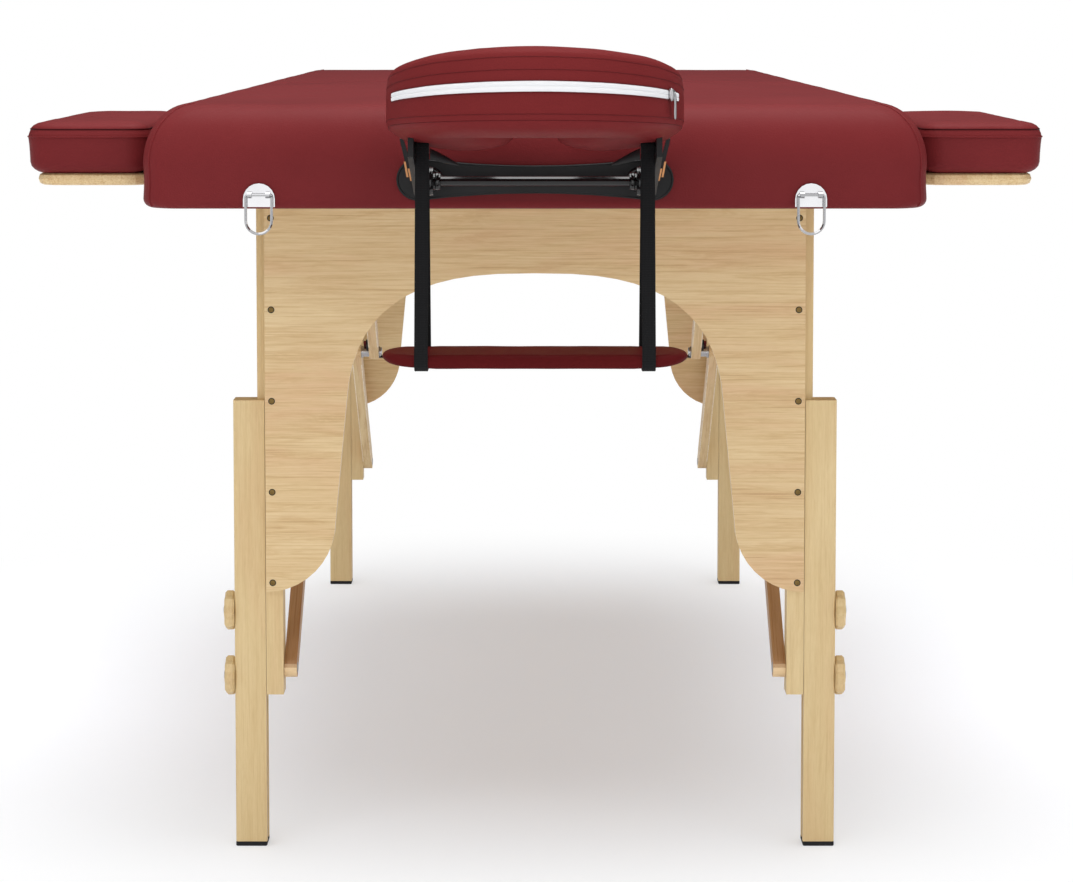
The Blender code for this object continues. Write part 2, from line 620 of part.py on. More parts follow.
def build_ring(half, label, side, materials):
    """D-ring on a plate whose two lugs hold its straight bar."""
    middle = side * RING_SPACING / 2
    face = HALF_LENGTH + CLEAR
    bottom = SKIRT_BOTTOM + RING_PLATE_RISE
    radius = RING_PLATE_WIDTH / 2
    crown = bottom + RING_PLATE_HEIGHT - radius
    outline = [(middle - radius, bottom), (middle + radius, bottom)]
    outline += arc(radius, 0, pi, 10, (middle, crown))
    plate = add(f"ring_plate_{label}", prism(outline, "y", face, face + RING_PLATE_THICK),
                materials["chrome"], half, (middle, face, bottom))
    bore = RING_WIRE + PIN_CLEAR
    lug = bore + RING_LUG_WALL
    axis = (face + RING_PLATE_THICK + lug, bottom + RING_PIVOT_RISE)
    lugs = []
    for offset in (-RING_LUG_OFFSET, RING_LUG_OFFSET):
        edge = middle + offset - RING_LUG_WIDTH / 2
        barrel = arc(lug, -pi / 2, pi / 2, 6, axis)
        barrel += [(face + RING_PLATE_THICK / 2, axis[1] + lug), (face + RING_PLATE_THICK / 2, axis[1] - lug)]
        lugs.append(prism(barrel, "x", edge, edge + RING_LUG_WIDTH))
    fuse(plate, *lugs)
    cut(plate, rod("x", bore, middle - RING_HALF_WIDTH, middle + RING_HALF_WIDTH, axis, PIN_SIDES))

    corner = RING_WIRE * 1.6
    width = RING_HALF_WIDTH
    path = arc(corner, pi / 2, pi, 3, (corner - width, -corner))
    path += arc(width, pi, 2 * pi, 12, (0, width - RING_DROP))
    path += arc(corner, 0, pi / 2, 3, (width - corner, -corner))
    wire = bpy.data.curves.new(f"ring_{label}", "CURVE")
    wire.dimensions = "3D"
    wire.bevel_depth = RING_WIRE
    wire.bevel_resolution = 1
    spline = wire.splines.new("POLY")
    spline.points.add(len(path) - 1)
    for point, (across, up) in zip(spline.points, path):
        point.co = (across, 0, up, 1)
    spline.use_cyclic_u = True
    wire.materials.append(materials["chrome"])
    item = bpy.data.objects.new(f"ring_{label}", wire)
    item.parent = half
    item.location = (middle, *axis)
    bpy.context.scene.collection.objects.link(item)


def outlet_outline():
    """Dog-bone plate in X and Z: round ends drawn in to a waist."""
    centre = OUTLET_LENGTH / 2 - OUTLET_END_RADIUS
    start = radians(96)
    right = arc(OUTLET_END_RADIUS, -start, start, 12, (centre, POST_Z))
    shoulder = right[-1]
    waist = []
    for step in range(1, 8):
        share = step / 8
        x = shoulder[0] * (1 - 2 * share)
        height = OUTLET_WAIST + (shoulder[1] - POST_Z - OUTLET_WAIST) * (1 - 2 * share) ** 2
        waist.append((x, POST_Z + height))
    left = [(-x, 2 * POST_Z - z) for x, z in right]
    under = [(-x, 2 * POST_Z - z) for x, z in waist]
    return right + waist + left + under


def build_cradle_base(half, facing, materials):
    face = HALF_LENGTH + CLEAR
    plate = add("outlet_plate", prism(outlet_outline(), "y", face, face + OUTLET_THICK),
                materials["black_plastic"], half, (0, face, POST_Z))
    cut(plate, *[rod("y", POST_RADIUS + PIN_CLEAR, face - CLEAR, face + OUTLET_THICK + CLEAR,
                     (side * POST_X, POST_Z)) for side in (1, -1)])
    axis = (CRADLE_Y, POST_Z)
    neck = CRADLE_Y - KNUCKLE_RADIUS - CLEAR
    for side in (1, -1):
        label = "right" if side * facing > 0 else "left"
        inside = side * (POST_X - KNUCKLE_THICK / 2)
        outside = side * KNUCKLE_OUTSIDE
        post = add(f"cradle_post_{label}", rod("y", POST_RADIUS, neck - POST_REACH, neck, (side * POST_X, POST_Z)),
                   materials["black_steel"], half, (side * POST_X, CRADLE_Y, POST_Z))
        eye = arc(KNUCKLE_RADIUS, -pi * 0.7, pi * 0.7, 16, axis)
        eye += [(neck - KNUCKLE_THICK, POST_Z + POST_RADIUS * 0.7), (neck - KNUCKLE_THICK, POST_Z - POST_RADIUS * 0.7)]
        fuse(post, prism(eye, "x", inside, outside))
        cut(post, rod("x", TILT_ROD_RADIUS + PIN_CLEAR, inside - CLEAR * side, outside + CLEAR * side, axis))
        build_lever(half, f"cam_lever_{label}", side, axis, materials)
    collar_end = POST_X - KNUCKLE_THICK / 2 - CLEAR
    turns = [(BRACKET_OUTSIDE, TILT_ROD_RADIUS), (collar_end, TILT_ROD_RADIUS), (collar_end, COLLAR_RADIUS),
             (collar_end - COLLAR_LENGTH, COLLAR_RADIUS), (collar_end - COLLAR_LENGTH, TILT_ROD_RADIUS)]
    turns += [(-x, radius) for x, radius in reversed(turns)]
    rings = [[(x, y, z) for y, z in circle(radius, axis)] for x, radius in turns]
    add("tilt_rod", loft(rings), materials["black_steel"], half, (0, *axis))


def build_lever(half, name, side, axis, materials):
    """Cam lever at the rod's end: a round cam and a thin handle that stands up from it, bent outwards."""
    centre = BRACKET_OUTSIDE + CLEAR + LEVER_CAM_RADIUS
    top = POST_Z + LEVER_LENGTH
    lean = LEVER_THICK * 0.9
    outline = arc(LEVER_CAM_RADIUS, -pi * 1.2, pi * 0.25, 12, (centre, POST_Z))
    outline += [(centre + lean * 0.8, POST_Z + LEVER_LENGTH * 0.45), (centre + LEVER_THICK + lean, top)]
    outline += [(centre + lean + LEVER_THICK * 0.2, top), (centre - LEVER_THICK * 0.35, POST_Z + LEVER_LENGTH * 0.45)]
    outline = [(side * x, z) for x, z in outline]
    add(name, prism(outline, "y", axis[0] - LEVER_WIDTH / 2, axis[0] + LEVER_WIDTH / 2),
        materials["black_plastic"], half, (side * centre, axis[0], POST_Z))


def horseshoe(limb):
    """Stations along the cradle's horseshoe, open towards the table: centre, outward direction and taper."""
    first, last = CUSHION_MOUTH - pi / 2, pi * 1.5 - CUSHION_MOUTH
    stations = []
    for step in range(CRADLE_STEPS + 1):
        angle = first + (last - first) * step / CRADLE_STEPS
        place = Vector((CUSHION_RUN * cos(angle), CUSHION_CENTRE + CUSHION_REACH * sin(angle)))
        along = Vector((-CUSHION_RUN * sin(angle), CUSHION_REACH * cos(angle))).normalized()
        stations.append((place, Vector((along.y, -along.x)), along, 1.0))
    ends = []
    for (place, out, along, full), direction in ((stations[0], -1), (stations[-1], 1)):
        cap = []
        for step in (1, 2, 3):
            angle = radians(27) * step
            cap.append((place + along * (direction * limb / 2 * sin(angle)), out, along, cos(angle)))
        ends.append(cap)
    return [(place, out, taper) for place, out, along, taper in list(reversed(ends[0])) + stations + ends[1]]


def cushion_section():
    """Share of the half width, and height: recess for the platform, seams, drawn-in wall and crown."""
    recess = CUSHION_RECESS_WIDTH / CUSHION_LIMB
    crown = CUSHION_THICK - CUSHION_WALL
    right = [(recess, CUSHION_RECESS), (recess, 0.0), (0.78, 0.0), (0.94, 0.35 * CUSHION_SEAM),
             (1.0, CUSHION_SEAM), (0.96, (CUSHION_SEAM + CUSHION_WALL) / 2), (0.99, CUSHION_WALL),
             (0.90, CUSHION_WALL + 0.6 * crown), (0.55, CUSHION_WALL + 0.94 * crown)]
    return right + [(0.0, CUSHION_THICK)] + [(-share, height) for share, height in reversed(right)]


def build_face_cushion(tilt, materials):
    rings = []
    for place, out, taper in horseshoe(CUSHION_LIMB):
        ring = []
        for share, height in cushion_section():
            point = place + out * (share * CUSHION_LIMB / 2 * taper)
            lift = height if height <= CUSHION_RECESS else height * (0.72 + 0.28 * taper)
            ring.append((point.x, point.y, CUSHION_RISE + lift))
        rings.append(ring)
    add("face_cushion", loft(rings), materials["vinyl"], tilt)


def build_platform(tilt, materials):
    """Horseshoe plate in the cushion's recess, with brackets down to the tilt rod and pegs for the straps."""
    rings = []
    for place, out, taper in horseshoe(PLATFORM_LIMB):
        near = place - out * (PLATFORM_LIMB / 2 * taper)
        far = place + out * (PLATFORM_LIMB / 2 * taper)
        rings.append([(near.x, near.y, PLATFORM_LOW), (far.x, far.y, PLATFORM_LOW),
                      (far.x, far.y, PLATFORM_TOP), (near.x, near.y, PLATFORM_TOP)])
    platform = add("cradle_platform", loft(rings), materials["black_plastic"], tilt)
    first, last = CUSHION_CENTRE - BRACKET_UPSTAND / 2, CUSHION_CENTRE + BRACKET_UPSTAND / 2
    rim = CUSHION_RISE - PLATFORM_DROP
    bracket = arc(KNUCKLE_RADIUS, pi * 0.62, pi * 1.62, 10)
    bracket += [(last, rim - BRACKET_DEPTH), (last, PLATFORM_TOP), (first, PLATFORM_TOP), (first, rim)]
    middle = BRACKET_INSIDE + BRACKET_THICK / 2
    boss_start = KNUCKLE_OUTSIDE + CLEAR
    peg_end = STRAP_X - STRAP_WIDTH / 2 - CLEAR
    for side in (1, -1):
        fuse(platform, prism(bracket, "x", side * BRACKET_INSIDE, side * BRACKET_OUTSIDE))
        fuse(platform, rod("x", BRACKET_BOSS_RADIUS, side * boss_start, side * middle, (0, 0)),
             rod("x", HANGER_RADIUS, side * peg_end, side * middle, (HANGER_RUN, hanger_height())))
        cut(platform, rod("x", TILT_ROD_RADIUS + PIN_CLEAR, side * (boss_start - CLEAR),
                          side * (BRACKET_OUTSIDE + CLEAR), (0, 0)))


def hanger_height():
    return PLATFORM_LOW - CLEAR - STRAP_THICK - CLEAR - HANGER_RADIUS


def shelf_pivot():
    """Hanger peg's axis in the half's frame, in Y and Z."""
    run, rise = HANGER_RUN, hanger_height()
    return (CRADLE_Y + run * cos(CRADLE_TILT) - rise * sin(CRADLE_TILT),
            POST_Z + run * sin(CRADLE_TILT) + rise * cos(CRADLE_TILT))


def strap_loop(grow):
    """Strap seen from the side: round over the peg, and round under the shelf."""
    middle, top = shelf_pivot()
    radius = HANGER_RADIUS + CLEAR + grow
    half = SHELF_DEPTH / 2 + CLEAR + grow
    corner = SHELF_THICK / 2 + grow
    low = top - SHELF_HANG
    points = arc(radius, radians(12), radians(168), 8, (middle, top))
    points += arc(corner, pi, pi * 1.5, 3, (middle - half + corner, low + corner - grow))
    points += arc(corner, pi * 1.5, pi * 2, 3, (middle + half - corner, low + corner - grow))
    return points


def build_arm_shelf(half, facing, materials):
    middle, top = shelf_pivot()
    low = top - SHELF_HANG + CLEAR
    nose = SHELF_DEPTH / 2
    rings = []
    for inset, height in ((0.55, 0), (0.12, 0.16), (0, 0.5), (0.12, 0.84), (0.4, 0.97), (0.75, 1.0)):
        shrink = inset * SHELF_THICK
        outline = arc(nose - shrink, -pi / 2, pi / 2, 8, (SHELF_WIDTH / 2 - nose, 0))
        outline += arc(nose - shrink, pi / 2, pi * 1.5, 8, (nose - SHELF_WIDTH / 2, 0))
        rings.append([(x, middle + y, low + SHELF_THICK * height) for x, y in outline])
    add("arm_shelf_pad", loft(rings), materials["vinyl"], half, (0, middle, top))
    for side in (1, -1):
        label = "right" if side * facing > 0 else "left"
        inside = side * (STRAP_X - STRAP_WIDTH / 2)
        outside = side * (STRAP_X + STRAP_WIDTH / 2)
        outer, inner = strap_loop(STRAP_THICK), strap_loop(0)
        rings = [[(x, y, z) for y, z in loop] for x, loop in
                 ((inside, outer), (outside, outer), (outside, inner), (inside, inner))]
        add(f"shelf_strap_{label}", loft(rings, closed=True), materials["webbing"], half, (0, middle, top))


def block_ring(centre, half_width, half_length, corner, height):
    points = []
    for start, (across, along) in zip((0, pi / 2, pi, pi * 1.5), ((1, 1), (-1, 1), (-1, -1), (1, -1))):
        place = (centre[0] + across * (half_width - corner), centre[1] + along * (half_length - corner))
        points += arc(corner, start, start + pi / 2, CORNER_STEPS, place)
    return [(x, y, height) for x, y in points]


def build_armrest(half, label, side, materials):
    inside = HALF_WIDTH + ARMREST_GAP
    centre = (side * (inside + ARMREST_WIDTH / 2), ARMREST_MIDDLE)
    board_top = DOWEL_Z + ARMREST_BOARD_THICK / 2
    low = board_top + CLEAR
    wall = ARMREST_PAD_HEIGHT - ARMREST_CROWN - ARMREST_EDGE
    stations = [(ARMREST_EDGE * 0.8, 0), (ARMREST_EDGE * 0.2, ARMREST_EDGE * 0.3), (0, ARMREST_EDGE * 0.8)]
    stations.append((PAD_DRAWN_IN, (wall + ARMREST_EDGE) / 2))
    stations += [(ARMREST_EDGE * along, wall + ARMREST_EDGE * up) for along, up in edge_curve(3)]
    stations += [(ARMREST_WIDTH * share, ARMREST_PAD_HEIGHT - ARMREST_CROWN * (1 - share * 2.6) ** 2)
                 for share in (0.2, 0.36)]
    rings = []
    for inset, rise in stations:
        corner = max(ARMREST_CORNER - inset, ARMREST_CORNER / 6)
        rings.append(block_ring(centre, ARMREST_WIDTH / 2 - inset, ARMREST_LENGTH / 2 - inset, corner, low + rise))
    add(f"armrest_pad_{label}", loft(rings), materials["vinyl"], half, (side * inside, ARMREST_MIDDLE, DOWEL_Z))

    board_width = ARMREST_WIDTH - ARMREST_BOARD_INSET
    board_centre = (side * (inside + board_width / 2), ARMREST_MIDDLE)
    board_half = ARMREST_LENGTH / 2 - ARMREST_BOARD_INSET
    nose = ARMREST_BOARD_THICK / 2
    rings = []
    for step in range(5):
        angle = -pi / 2 + pi * step / 4
        inset = nose * (1 - cos(angle)) * 0.8
        rings.append(block_ring(board_centre, board_width / 2 - inset, board_half - inset,
                                ARMREST_CORNER - inset, DOWEL_Z + nose * sin(angle)))
    board = add(f"armrest_board_{label}", loft(rings), materials["beech"], half,
                (side * inside, ARMREST_MIDDLE, DOWEL_Z))
    root = side * (inside + ARMREST_CORNER)
    tip = side * (inside - DOWEL_REACH)
    dowels = [rod("x", DOWEL_RADIUS, tip, root, (ARMREST_MIDDLE + offset, DOWEL_Z), PIN_SIDES)
              for offset in (-DOWEL_SPACING / 2, DOWEL_SPACING / 2)]
    fuse(board, *dowels)


def cut_head_sockets():
    """Holes in the head half's cover and frame for the cradle posts and the armrest dowels."""
    pad, frame = bpy.data.objects["head_pad"], bpy.data.objects["head_frame"]
    rail_inside = HALF_WIDTH - FRAME_INSET - RAIL_THICK
    end_inside = HALF_LENGTH - FRAME_INSET - RAIL_THICK
    holes = []
    for side in (1, -1):
        holes.append(rod("y", POST_RADIUS + PIN_CLEAR, end_inside - CLEAR, HALF_LENGTH + CLEAR,
                         (side * POST_X, POST_Z)))
        for offset in (-DOWEL_SPACING / 2, DOWEL_SPACING / 2):
            holes.append(rod("x", DOWEL_RADIUS + PIN_CLEAR, side * (rail_inside - CLEAR),
                             side * (HALF_WIDTH + CLEAR), (ARMREST_MIDDLE + offset, DOWEL_Z), PIN_SIDES))
    cut(pad, *holes)
    cut(frame, *holes)


def build_head_end(half, materials):
    facing = -1
    build_cradle_base(half, facing, materials)
    tilt = empty("cradle_tilt", half, (0, CRADLE_Y, POST_Z), (CRADLE_TILT, 0, 0))
    build_platform(tilt, materials)
    build_face_cushion(tilt, materials)
    build_arm_shelf(half, facing, materials)
    for side in (1, -1):
        label = "right" if side * facing > 0 else "left"
        build_ring(half, label, side, materials)
        build_armrest(half, label, side, materials)
    cut_head_sockets()


def main():
    clear_scene()
    materials = {name: make_material(name) for name in MATERIALS}
    root = empty("massage_table", None, (0, CRADLE_REACH / 2, 0))
    for name, facing, turn in (("head", -1, pi), ("foot", 1, 0)):
        half = empty(f"{name}_half", root, (0, 0, 0), (0, 0, turn))
        build_top(half, name, materials)
        build_hinge_leaf(half, name, materials, carries_pin=name == "head")
        build_legs(half, name, facing, materials)
        if name == "head":
            build_head_end(half, materials)


main()
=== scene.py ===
"""Looks of the massage table: vinyl padding, wood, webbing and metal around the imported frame.

Metres, +Z up. Places are given in a half's own frame, with its outer end towards +Y and the fold at zero,
and the head half is turned round, as the solids are.
"""

import json
import re
from math import cos, pi, radians, sin

import bmesh
import bpy
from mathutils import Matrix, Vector, noise


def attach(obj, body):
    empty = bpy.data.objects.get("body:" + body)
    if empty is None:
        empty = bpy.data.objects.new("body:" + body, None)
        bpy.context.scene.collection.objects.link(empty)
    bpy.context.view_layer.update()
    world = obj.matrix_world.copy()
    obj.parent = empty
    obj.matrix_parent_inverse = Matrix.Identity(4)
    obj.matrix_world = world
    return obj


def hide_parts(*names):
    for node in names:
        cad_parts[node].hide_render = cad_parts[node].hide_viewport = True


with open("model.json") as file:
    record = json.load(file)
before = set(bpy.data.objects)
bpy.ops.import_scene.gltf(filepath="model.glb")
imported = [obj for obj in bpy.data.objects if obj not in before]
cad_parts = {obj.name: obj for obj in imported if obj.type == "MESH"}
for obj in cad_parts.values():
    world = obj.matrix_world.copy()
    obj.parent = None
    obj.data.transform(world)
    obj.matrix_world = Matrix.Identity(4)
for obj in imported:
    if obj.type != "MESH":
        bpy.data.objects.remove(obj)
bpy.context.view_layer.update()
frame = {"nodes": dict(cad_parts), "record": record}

# Camera
LENS_MM = 99.98
SENSOR_MM = 36.0
CAMERA_BACK = 3.7502
CAMERA_HEIGHT = 0.8571
CAMERA_PITCH = radians(4.198)
CAMERA_SHIFT = (0.0014, -0.1933)

# Studio. The floor turns white between the two fades, measured from the table's middle.
FLOOR_SIZE = 30
FLOOR_COLOUR = (0.905, 0.928, 0.98, 1)
FLOOR_LIFT = 0.05
FADE_START = 0.38
FADE_END = 1.22
DOME_SIDE = 0.60
DOME_TOP = 0.90
REAR_GLOSS = 0.08
WHITE = (1, 1, 1, 1)
BLACK = (0, 0, 0, 1)
# Place, aim, size and power of each lamp
LAMPS = {
    "key": ((-1.4, -3.0, 2.7), (0, 0.0, 0.45), 2.6, 19),
    "overhead": ((0.1, -0.55, 3.2), (0, -0.1, 0.5), 2.2, 60),
    "fill": ((2.4, -3.0, 1.6), (0, -0.2, 0.5), 2.2, 8),
    "bounce": ((0.0, -2.6, 0.12), (0, -0.8, 0.72), 1.8, 8),
}

# Table top
HALF_LENGTH = 0.927
HALF_WIDTH = 0.375
TOP_HEIGHT = 0.775
SKIRT_BOTTOM = 0.673
DECK_TOP = 0.7141
PAD_EDGE_IN = 0.044
PAD_EDGE_RISE = 0.0565
PAD_CROWN = 0.003
PAD_CORNER = 0.026
PAD_LIP = 0.009
SKIRT_WALL = 0.010
FOLD_GAP = 0.0005
FOLD_WALL = 0.002
FOLD_SOFTNESS = 0.16
FOLD_SOFT_LIMIT = 0.06
CREST_DROP = 0.03
CREST_RUN = 0.02
BROAD_WAVE = (11, 0.0005)
FINE_WAVE = (38, 0.00018)
WAVE_SHIFT = 4
CORNER_SEAM_RADIUS = 0.0010
CORNER_SEAM_END = 0.040
SKIRT_TUCK = 0.0004

# Legs and braces
PANEL_FRONT = 0.7333
SCREW_X = 0.2685
SCREW_TOP = 0.6515
SCREW_PITCH = 0.0936
SCREW_COUNT = 5
UPPER_BRACE_INSIDE = 0.2207
UPPER_BRACE_OUTSIDE = 0.2337
LOWER_BRACE_INSIDE = 0.2455
LOWER_BRACE_OUTSIDE = 0.2585
BRACE_DEPTH = 0.020
BRACE_EDGE_RADIUS = 0.0006
KNEE_SHARE = 0.3965
KNEE_DOME = 0.003
BRACE_SLOPE = radians(36.01)
KNOB_FACE = 0.3193

# Face cradle
CRADLE_Y = 0.957
POST_X = 0.0985
POST_Z = 0.7015
POST_BORE = 0.0084
OUTLET_LENGTH = 0.263
OUTLET_END_RADIUS = 0.0202
OUTLET_WAIST = 0.0132
OUTLET_FRONT = 0.9313
OUTLET_RIM_RADIUS = 0.0009
LEVER_X = 0.1188
LEVER_LENGTH = 0.040
LEVER_THICK = 0.0042
LEVER_WIDTH = 0.011
CRADLE_TILT = radians(8.7)
CUSHION_LENGTH = 0.253
CUSHION_WIDTH = 0.268
CUSHION_LIMB = 0.084
CUSHION_THICK = 0.075
CUSHION_BELLY = 0.0056
CUSHION_BACK = 0.012
CUSHION_RISE = 0.0205
CUSHION_MOUTH = radians(39)
UNDER_SEAMS = (0.0040, 0.0092)
UPPER_SEAMS = (0.0496, 0.0613)
ZIP_EDGES = (0.0288, 0.0395)
ZIP_HALF_SPAN = radians(72.5)
CUSHION_SWELL = 0.0030
CUSHION_MIDDLE = 0.030
ZIP_LIP_RADIUS = 0.0007
CUSHION_SEAM_RADIUS = 0.00035

# Arm shelf
SHELF_WIDTH = 0.2765
SHELF_DEPTH = 0.085
SHELF_THICK = 0.015
SHELF_HANG = 0.1963
HANGER_RUN = 0.113
HANGER_RISE = 0.0189
HANGER_RADIUS = 0.005
STRAP_X = 0.1017
STRAP_WIDTH = 0.0122
STRAP_THICK = 0.002
STRAP_FIT = 0.0003

# Armrests
ARMREST_INSIDE = 0.3765
ARMREST_WIDTH = 0.122
ARMREST_LENGTH = 0.345
ARMREST_MIDDLE = 0.6725
ARMREST_LOW = 0.70235
ARMREST_CORNER = 0.024
DOWEL_Z = 0.6963
DOWEL_BORE = 0.0049
DOWEL_SPACING = 0.240

SIDES = ((1, "left"), (-1, "right"))
JOINT_PLACES = {joint["name"]: joint.get("pos_m") for joint in frame["record"]["behaviour"]["joints"]}
ROOT_Y = JOINT_PLACES["table_fold"][1]


def srgb(red, green, blue):
    def linear(value):
        value /= 255
        return value / 12.92 if value <= 0.04045 else ((value + 0.055) / 1.055) ** 2.4
    return (linear(red), linear(green), linear(blue), 1)


# Materials

# Colour sockets of the Mix node, by number, since its names repeat
MIX_SHARE, MIX_FIRST, MIX_SECOND = 0, 6, 7
MIX_RESULT = 2


def add_node(tree, kind, sockets=None, **settings):
    """New shader node. Settings are its own fields, and a socket takes a value or another node's output."""
    node = tree.nodes.new("ShaderNode" + kind)
    for name, value in settings.items():
        setattr(node, name, value)
    for name, value in (sockets or {}).items():
        if isinstance(value, bpy.types.NodeSocket):
            tree.links.new(value, node.inputs[name])
        else:
            node.inputs[name].default_value = value
    return node


def add_math(tree, operation, first, second=0.0):
    return add_node(tree, "Math", {0: first, 1: second}, operation=operation).outputs[0]


class Shader:
    """Small helper round one material's node tree."""

    def __init__(self, name, roughness, metallic=0.0):
        self.material = bpy.data.materials.new(name)
        self.material.use_nodes = True
        self.tree = self.material.node_tree
        self.out = self.tree.nodes["Principled BSDF"]
        self.fix("Roughness", roughness)
        self.fix("Metallic", metallic)
        spots = self.node("TexCoord")
        self.place = spots.outputs["Object"]
        self.normal = spots.outputs["Normal"]

    def node(self, kind, sockets=None, **settings):
        return add_node(self.tree, kind, sockets, **settings)

    def fix(self, name, value):
        self.out.inputs[name].default_value = value

    def feed(self, name, source):
        self.tree.links.new(source, self.out.inputs[name])

    def mapping(self, scale=(1, 1, 1), turn=(0, 0, 0)):
        """Turned first and scaled after, which only the texture type does, with the scale inverted."""
        sockets = {"Vector": self.place, "Scale": tuple(1 / share for share in scale), "Rotation": turn}
        return self.node("Mapping", sockets, vector_type="TEXTURE").outputs["Vector"]

    def noise(self, vector, scale, detail=2.0, roughness=0.5, distortion=0.0):
        sockets = {"Vector": vector, "Scale": scale, "Detail": detail, "Roughness": roughness,
                   "Distortion": distortion}
        return self.node("TexNoise", sockets).outputs["Fac"]

    def wave(self, vector, scale, distortion, direction):
        sockets = {"Vector": vector, "Scale": scale, "Distortion": distortion, "Detail": 1}
        return self.node("TexWave", sockets, bands_direction=direction).outputs["Fac"]

    def voronoi(self, vector, scale):
        return self.node("TexVoronoi", {"Vector": vector, "Scale": scale}).outputs["Distance"]

    def math(self, operation, first, second=0.0):
        return add_math(self.tree, operation, first, second)

    def ramp(self, value, *stops):
        node = self.node("ValToRGB", {"Fac": value})
        marks = node.color_ramp.elements
        while len(marks) < len(stops):
            marks.new(0.5)
        for mark, (position, colour) in zip(marks, stops):
            mark.position = position
            mark.color = colour
        return node.outputs["Color"]

    def mix(self, share, first, second, blend="MIX"):
        sockets = {MIX_SHARE: share, MIX_FIRST: first, MIX_SECOND: second}
        return self.node("Mix", sockets, data_type="RGBA", blend_type=blend).outputs[MIX_RESULT]

    def bump(self, height, distance, strength):
        sockets = {"Height": height, "Distance": distance, "Strength": strength}
        self.feed("Normal", self.node("Bump", sockets).outputs["Normal"])

    def colour(self, source):
        self.feed("Base Color", source)

    def roughness(self, value, low, high):
        sockets = {"Value": value, "To Min": low, "To Max": high}
        self.feed("Roughness", self.node("MapRange", sockets).outputs["Result"])


def vinyl(name, deep, pale, shine=0.06):
    shader = Shader(name, 0.5)
    plain = shader.mapping()
    grain = shader.voronoi(plain, 620)
    cloud = shader.noise(plain, 7, 3, 0.55)
    fine = shader.noise(plain, 900)
    tone = shader.ramp(cloud, (0.3, deep), (0.72, pale))
    shader.colour(shader.mix(0.12, tone, shader.ramp(grain, (0.1, deep), (0.7, pale))))
    shader.bump(shader.math("ADD", grain, shader.math("MULTIPLY", fine, 0.35)), 0.00022, 0.55)
    shader.roughness(cloud, 0.42, 0.50)
    shader.fix("Specular IOR Level", shine)
    return shader.material


def wood(name, grain_axis, tones, turn=0.0, figure=0.95, pale_edges=None, lit_end=None):
    """Beech with its grain along one axis: warm drifts, thin growth lines, fibres and short flecks.

    figure is the strength of the lines and threads. pale_edges names the axis across a board whose other
    faces are made paler. lit_end is the way that an end faces which gets a painted highlight, as if lit from
    the front.
    """
    shader = Shader(name, 0.5)
    pale, mid, warm = tones

    def grain(stretch, *values):
        scale = tuple(stretch if axis == grain_axis else 1 for axis in "xyz")
        return shader.noise(shader.mapping(scale, (turn, 0, 0)), *values)

    drift = grain(0.16, 13, 3, 0.55, 1.2)
    band = grain(0.085, 58, 5, 0.66, 2.0)
    thread = grain(0.016, 560, 3, 0.66, 0.3)
    fibre = grain(0.10, 900, 2, 0.6)
    tone = shader.ramp(drift, (0.30, pale), (0.48, mid), (0.60, warm), (0.78, mid))
    lines = shader.ramp(band, (0.36, WHITE), (0.52, (0.95, 0.925, 0.885, 1)),
                        (0.60, (0.865, 0.785, 0.70, 1)), (0.66, (0.96, 0.94, 0.91, 1)))
    tone = shader.mix(figure, tone, lines, "MULTIPLY")
    threads = shader.ramp(thread, (0.42, WHITE), (0.56, (0.94, 0.90, 0.845, 1)),
                          (0.66, (0.77, 0.66, 0.55, 1)))
    tone = shader.mix(figure, tone, threads, "MULTIPLY")
    fibres = shader.ramp(fibre, (0.34, (0.945, 0.925, 0.895, 1)), (0.64, WHITE))
    tone = shader.mix(0.8, tone, fibres, "MULTIPLY")
    # Faces across the given axis are made paler
    if pale_edges:
        split = shader.node("SeparateXYZ", {"Vector": shader.normal})
        facing = shader.math("ABSOLUTE", split.outputs[pale_edges])
        share = shader.ramp(facing, (0.35, (0.62, 0.62, 0.62, 1)), (0.75, BLACK))
        tone = shader.mix(share, tone, srgb(243, 232, 208))
    # Painted highlight: faces towards the given way are made paler, as if lit from the front
    if lit_end:
        toward = shader.node("VectorMath", {0: shader.normal, 1: lit_end}, operation="DOT_PRODUCT")
        share = shader.ramp(toward.outputs["Value"], (0.45, BLACK), (0.75, (0.85, 0.85, 0.85, 1)))
        tone = shader.mix(share, tone, srgb(232, 202, 156))
    shader.colour(tone)
    shader.bump(shader.math("ADD", fibre, shader.math("MULTIPLY", band, 0.5)), 0.00003, 0.25)
    shader.roughness(fibre, 0.42, 0.56)
    shader.fix("Coat Weight", 0.10)
    shader.fix("Coat Roughness", 0.35)
    return shader.material


def webbing(name):
    shader = Shader(name, 0.82)
    plain = shader.mapping()
    weave = shader.math("MULTIPLY", shader.wave(plain, 260, 0.4, "X"), shader.wave(plain, 210, 0.4, "Z"))
    shader.colour(shader.ramp(weave, (0.05, srgb(18, 18, 19)), (0.8, srgb(31, 31, 32))))
    shader.bump(weave, 0.0003, 0.7)
    shader.fix("Specular IOR Level", 0.12)
    shader.fix("Sheen Weight", 0.02)
    return shader.material


def metal(name, colour, low, high, brush=(1, 1, 1)):
    shader = Shader(name, low, 1.0)
    marks = shader.noise(shader.mapping(brush), 240, 3, 0.6)
    cloud = shader.noise(shader.mapping(), 30)
    darker = tuple(channel * 0.86 for channel in colour[:3]) + (1,)
    shader.colour(shader.ramp(cloud, (0.3, darker), (0.7, colour)))
    shader.roughness(marks, low, high)
    shader.bump(marks, 0.000008, 0.15)
    return shader.material


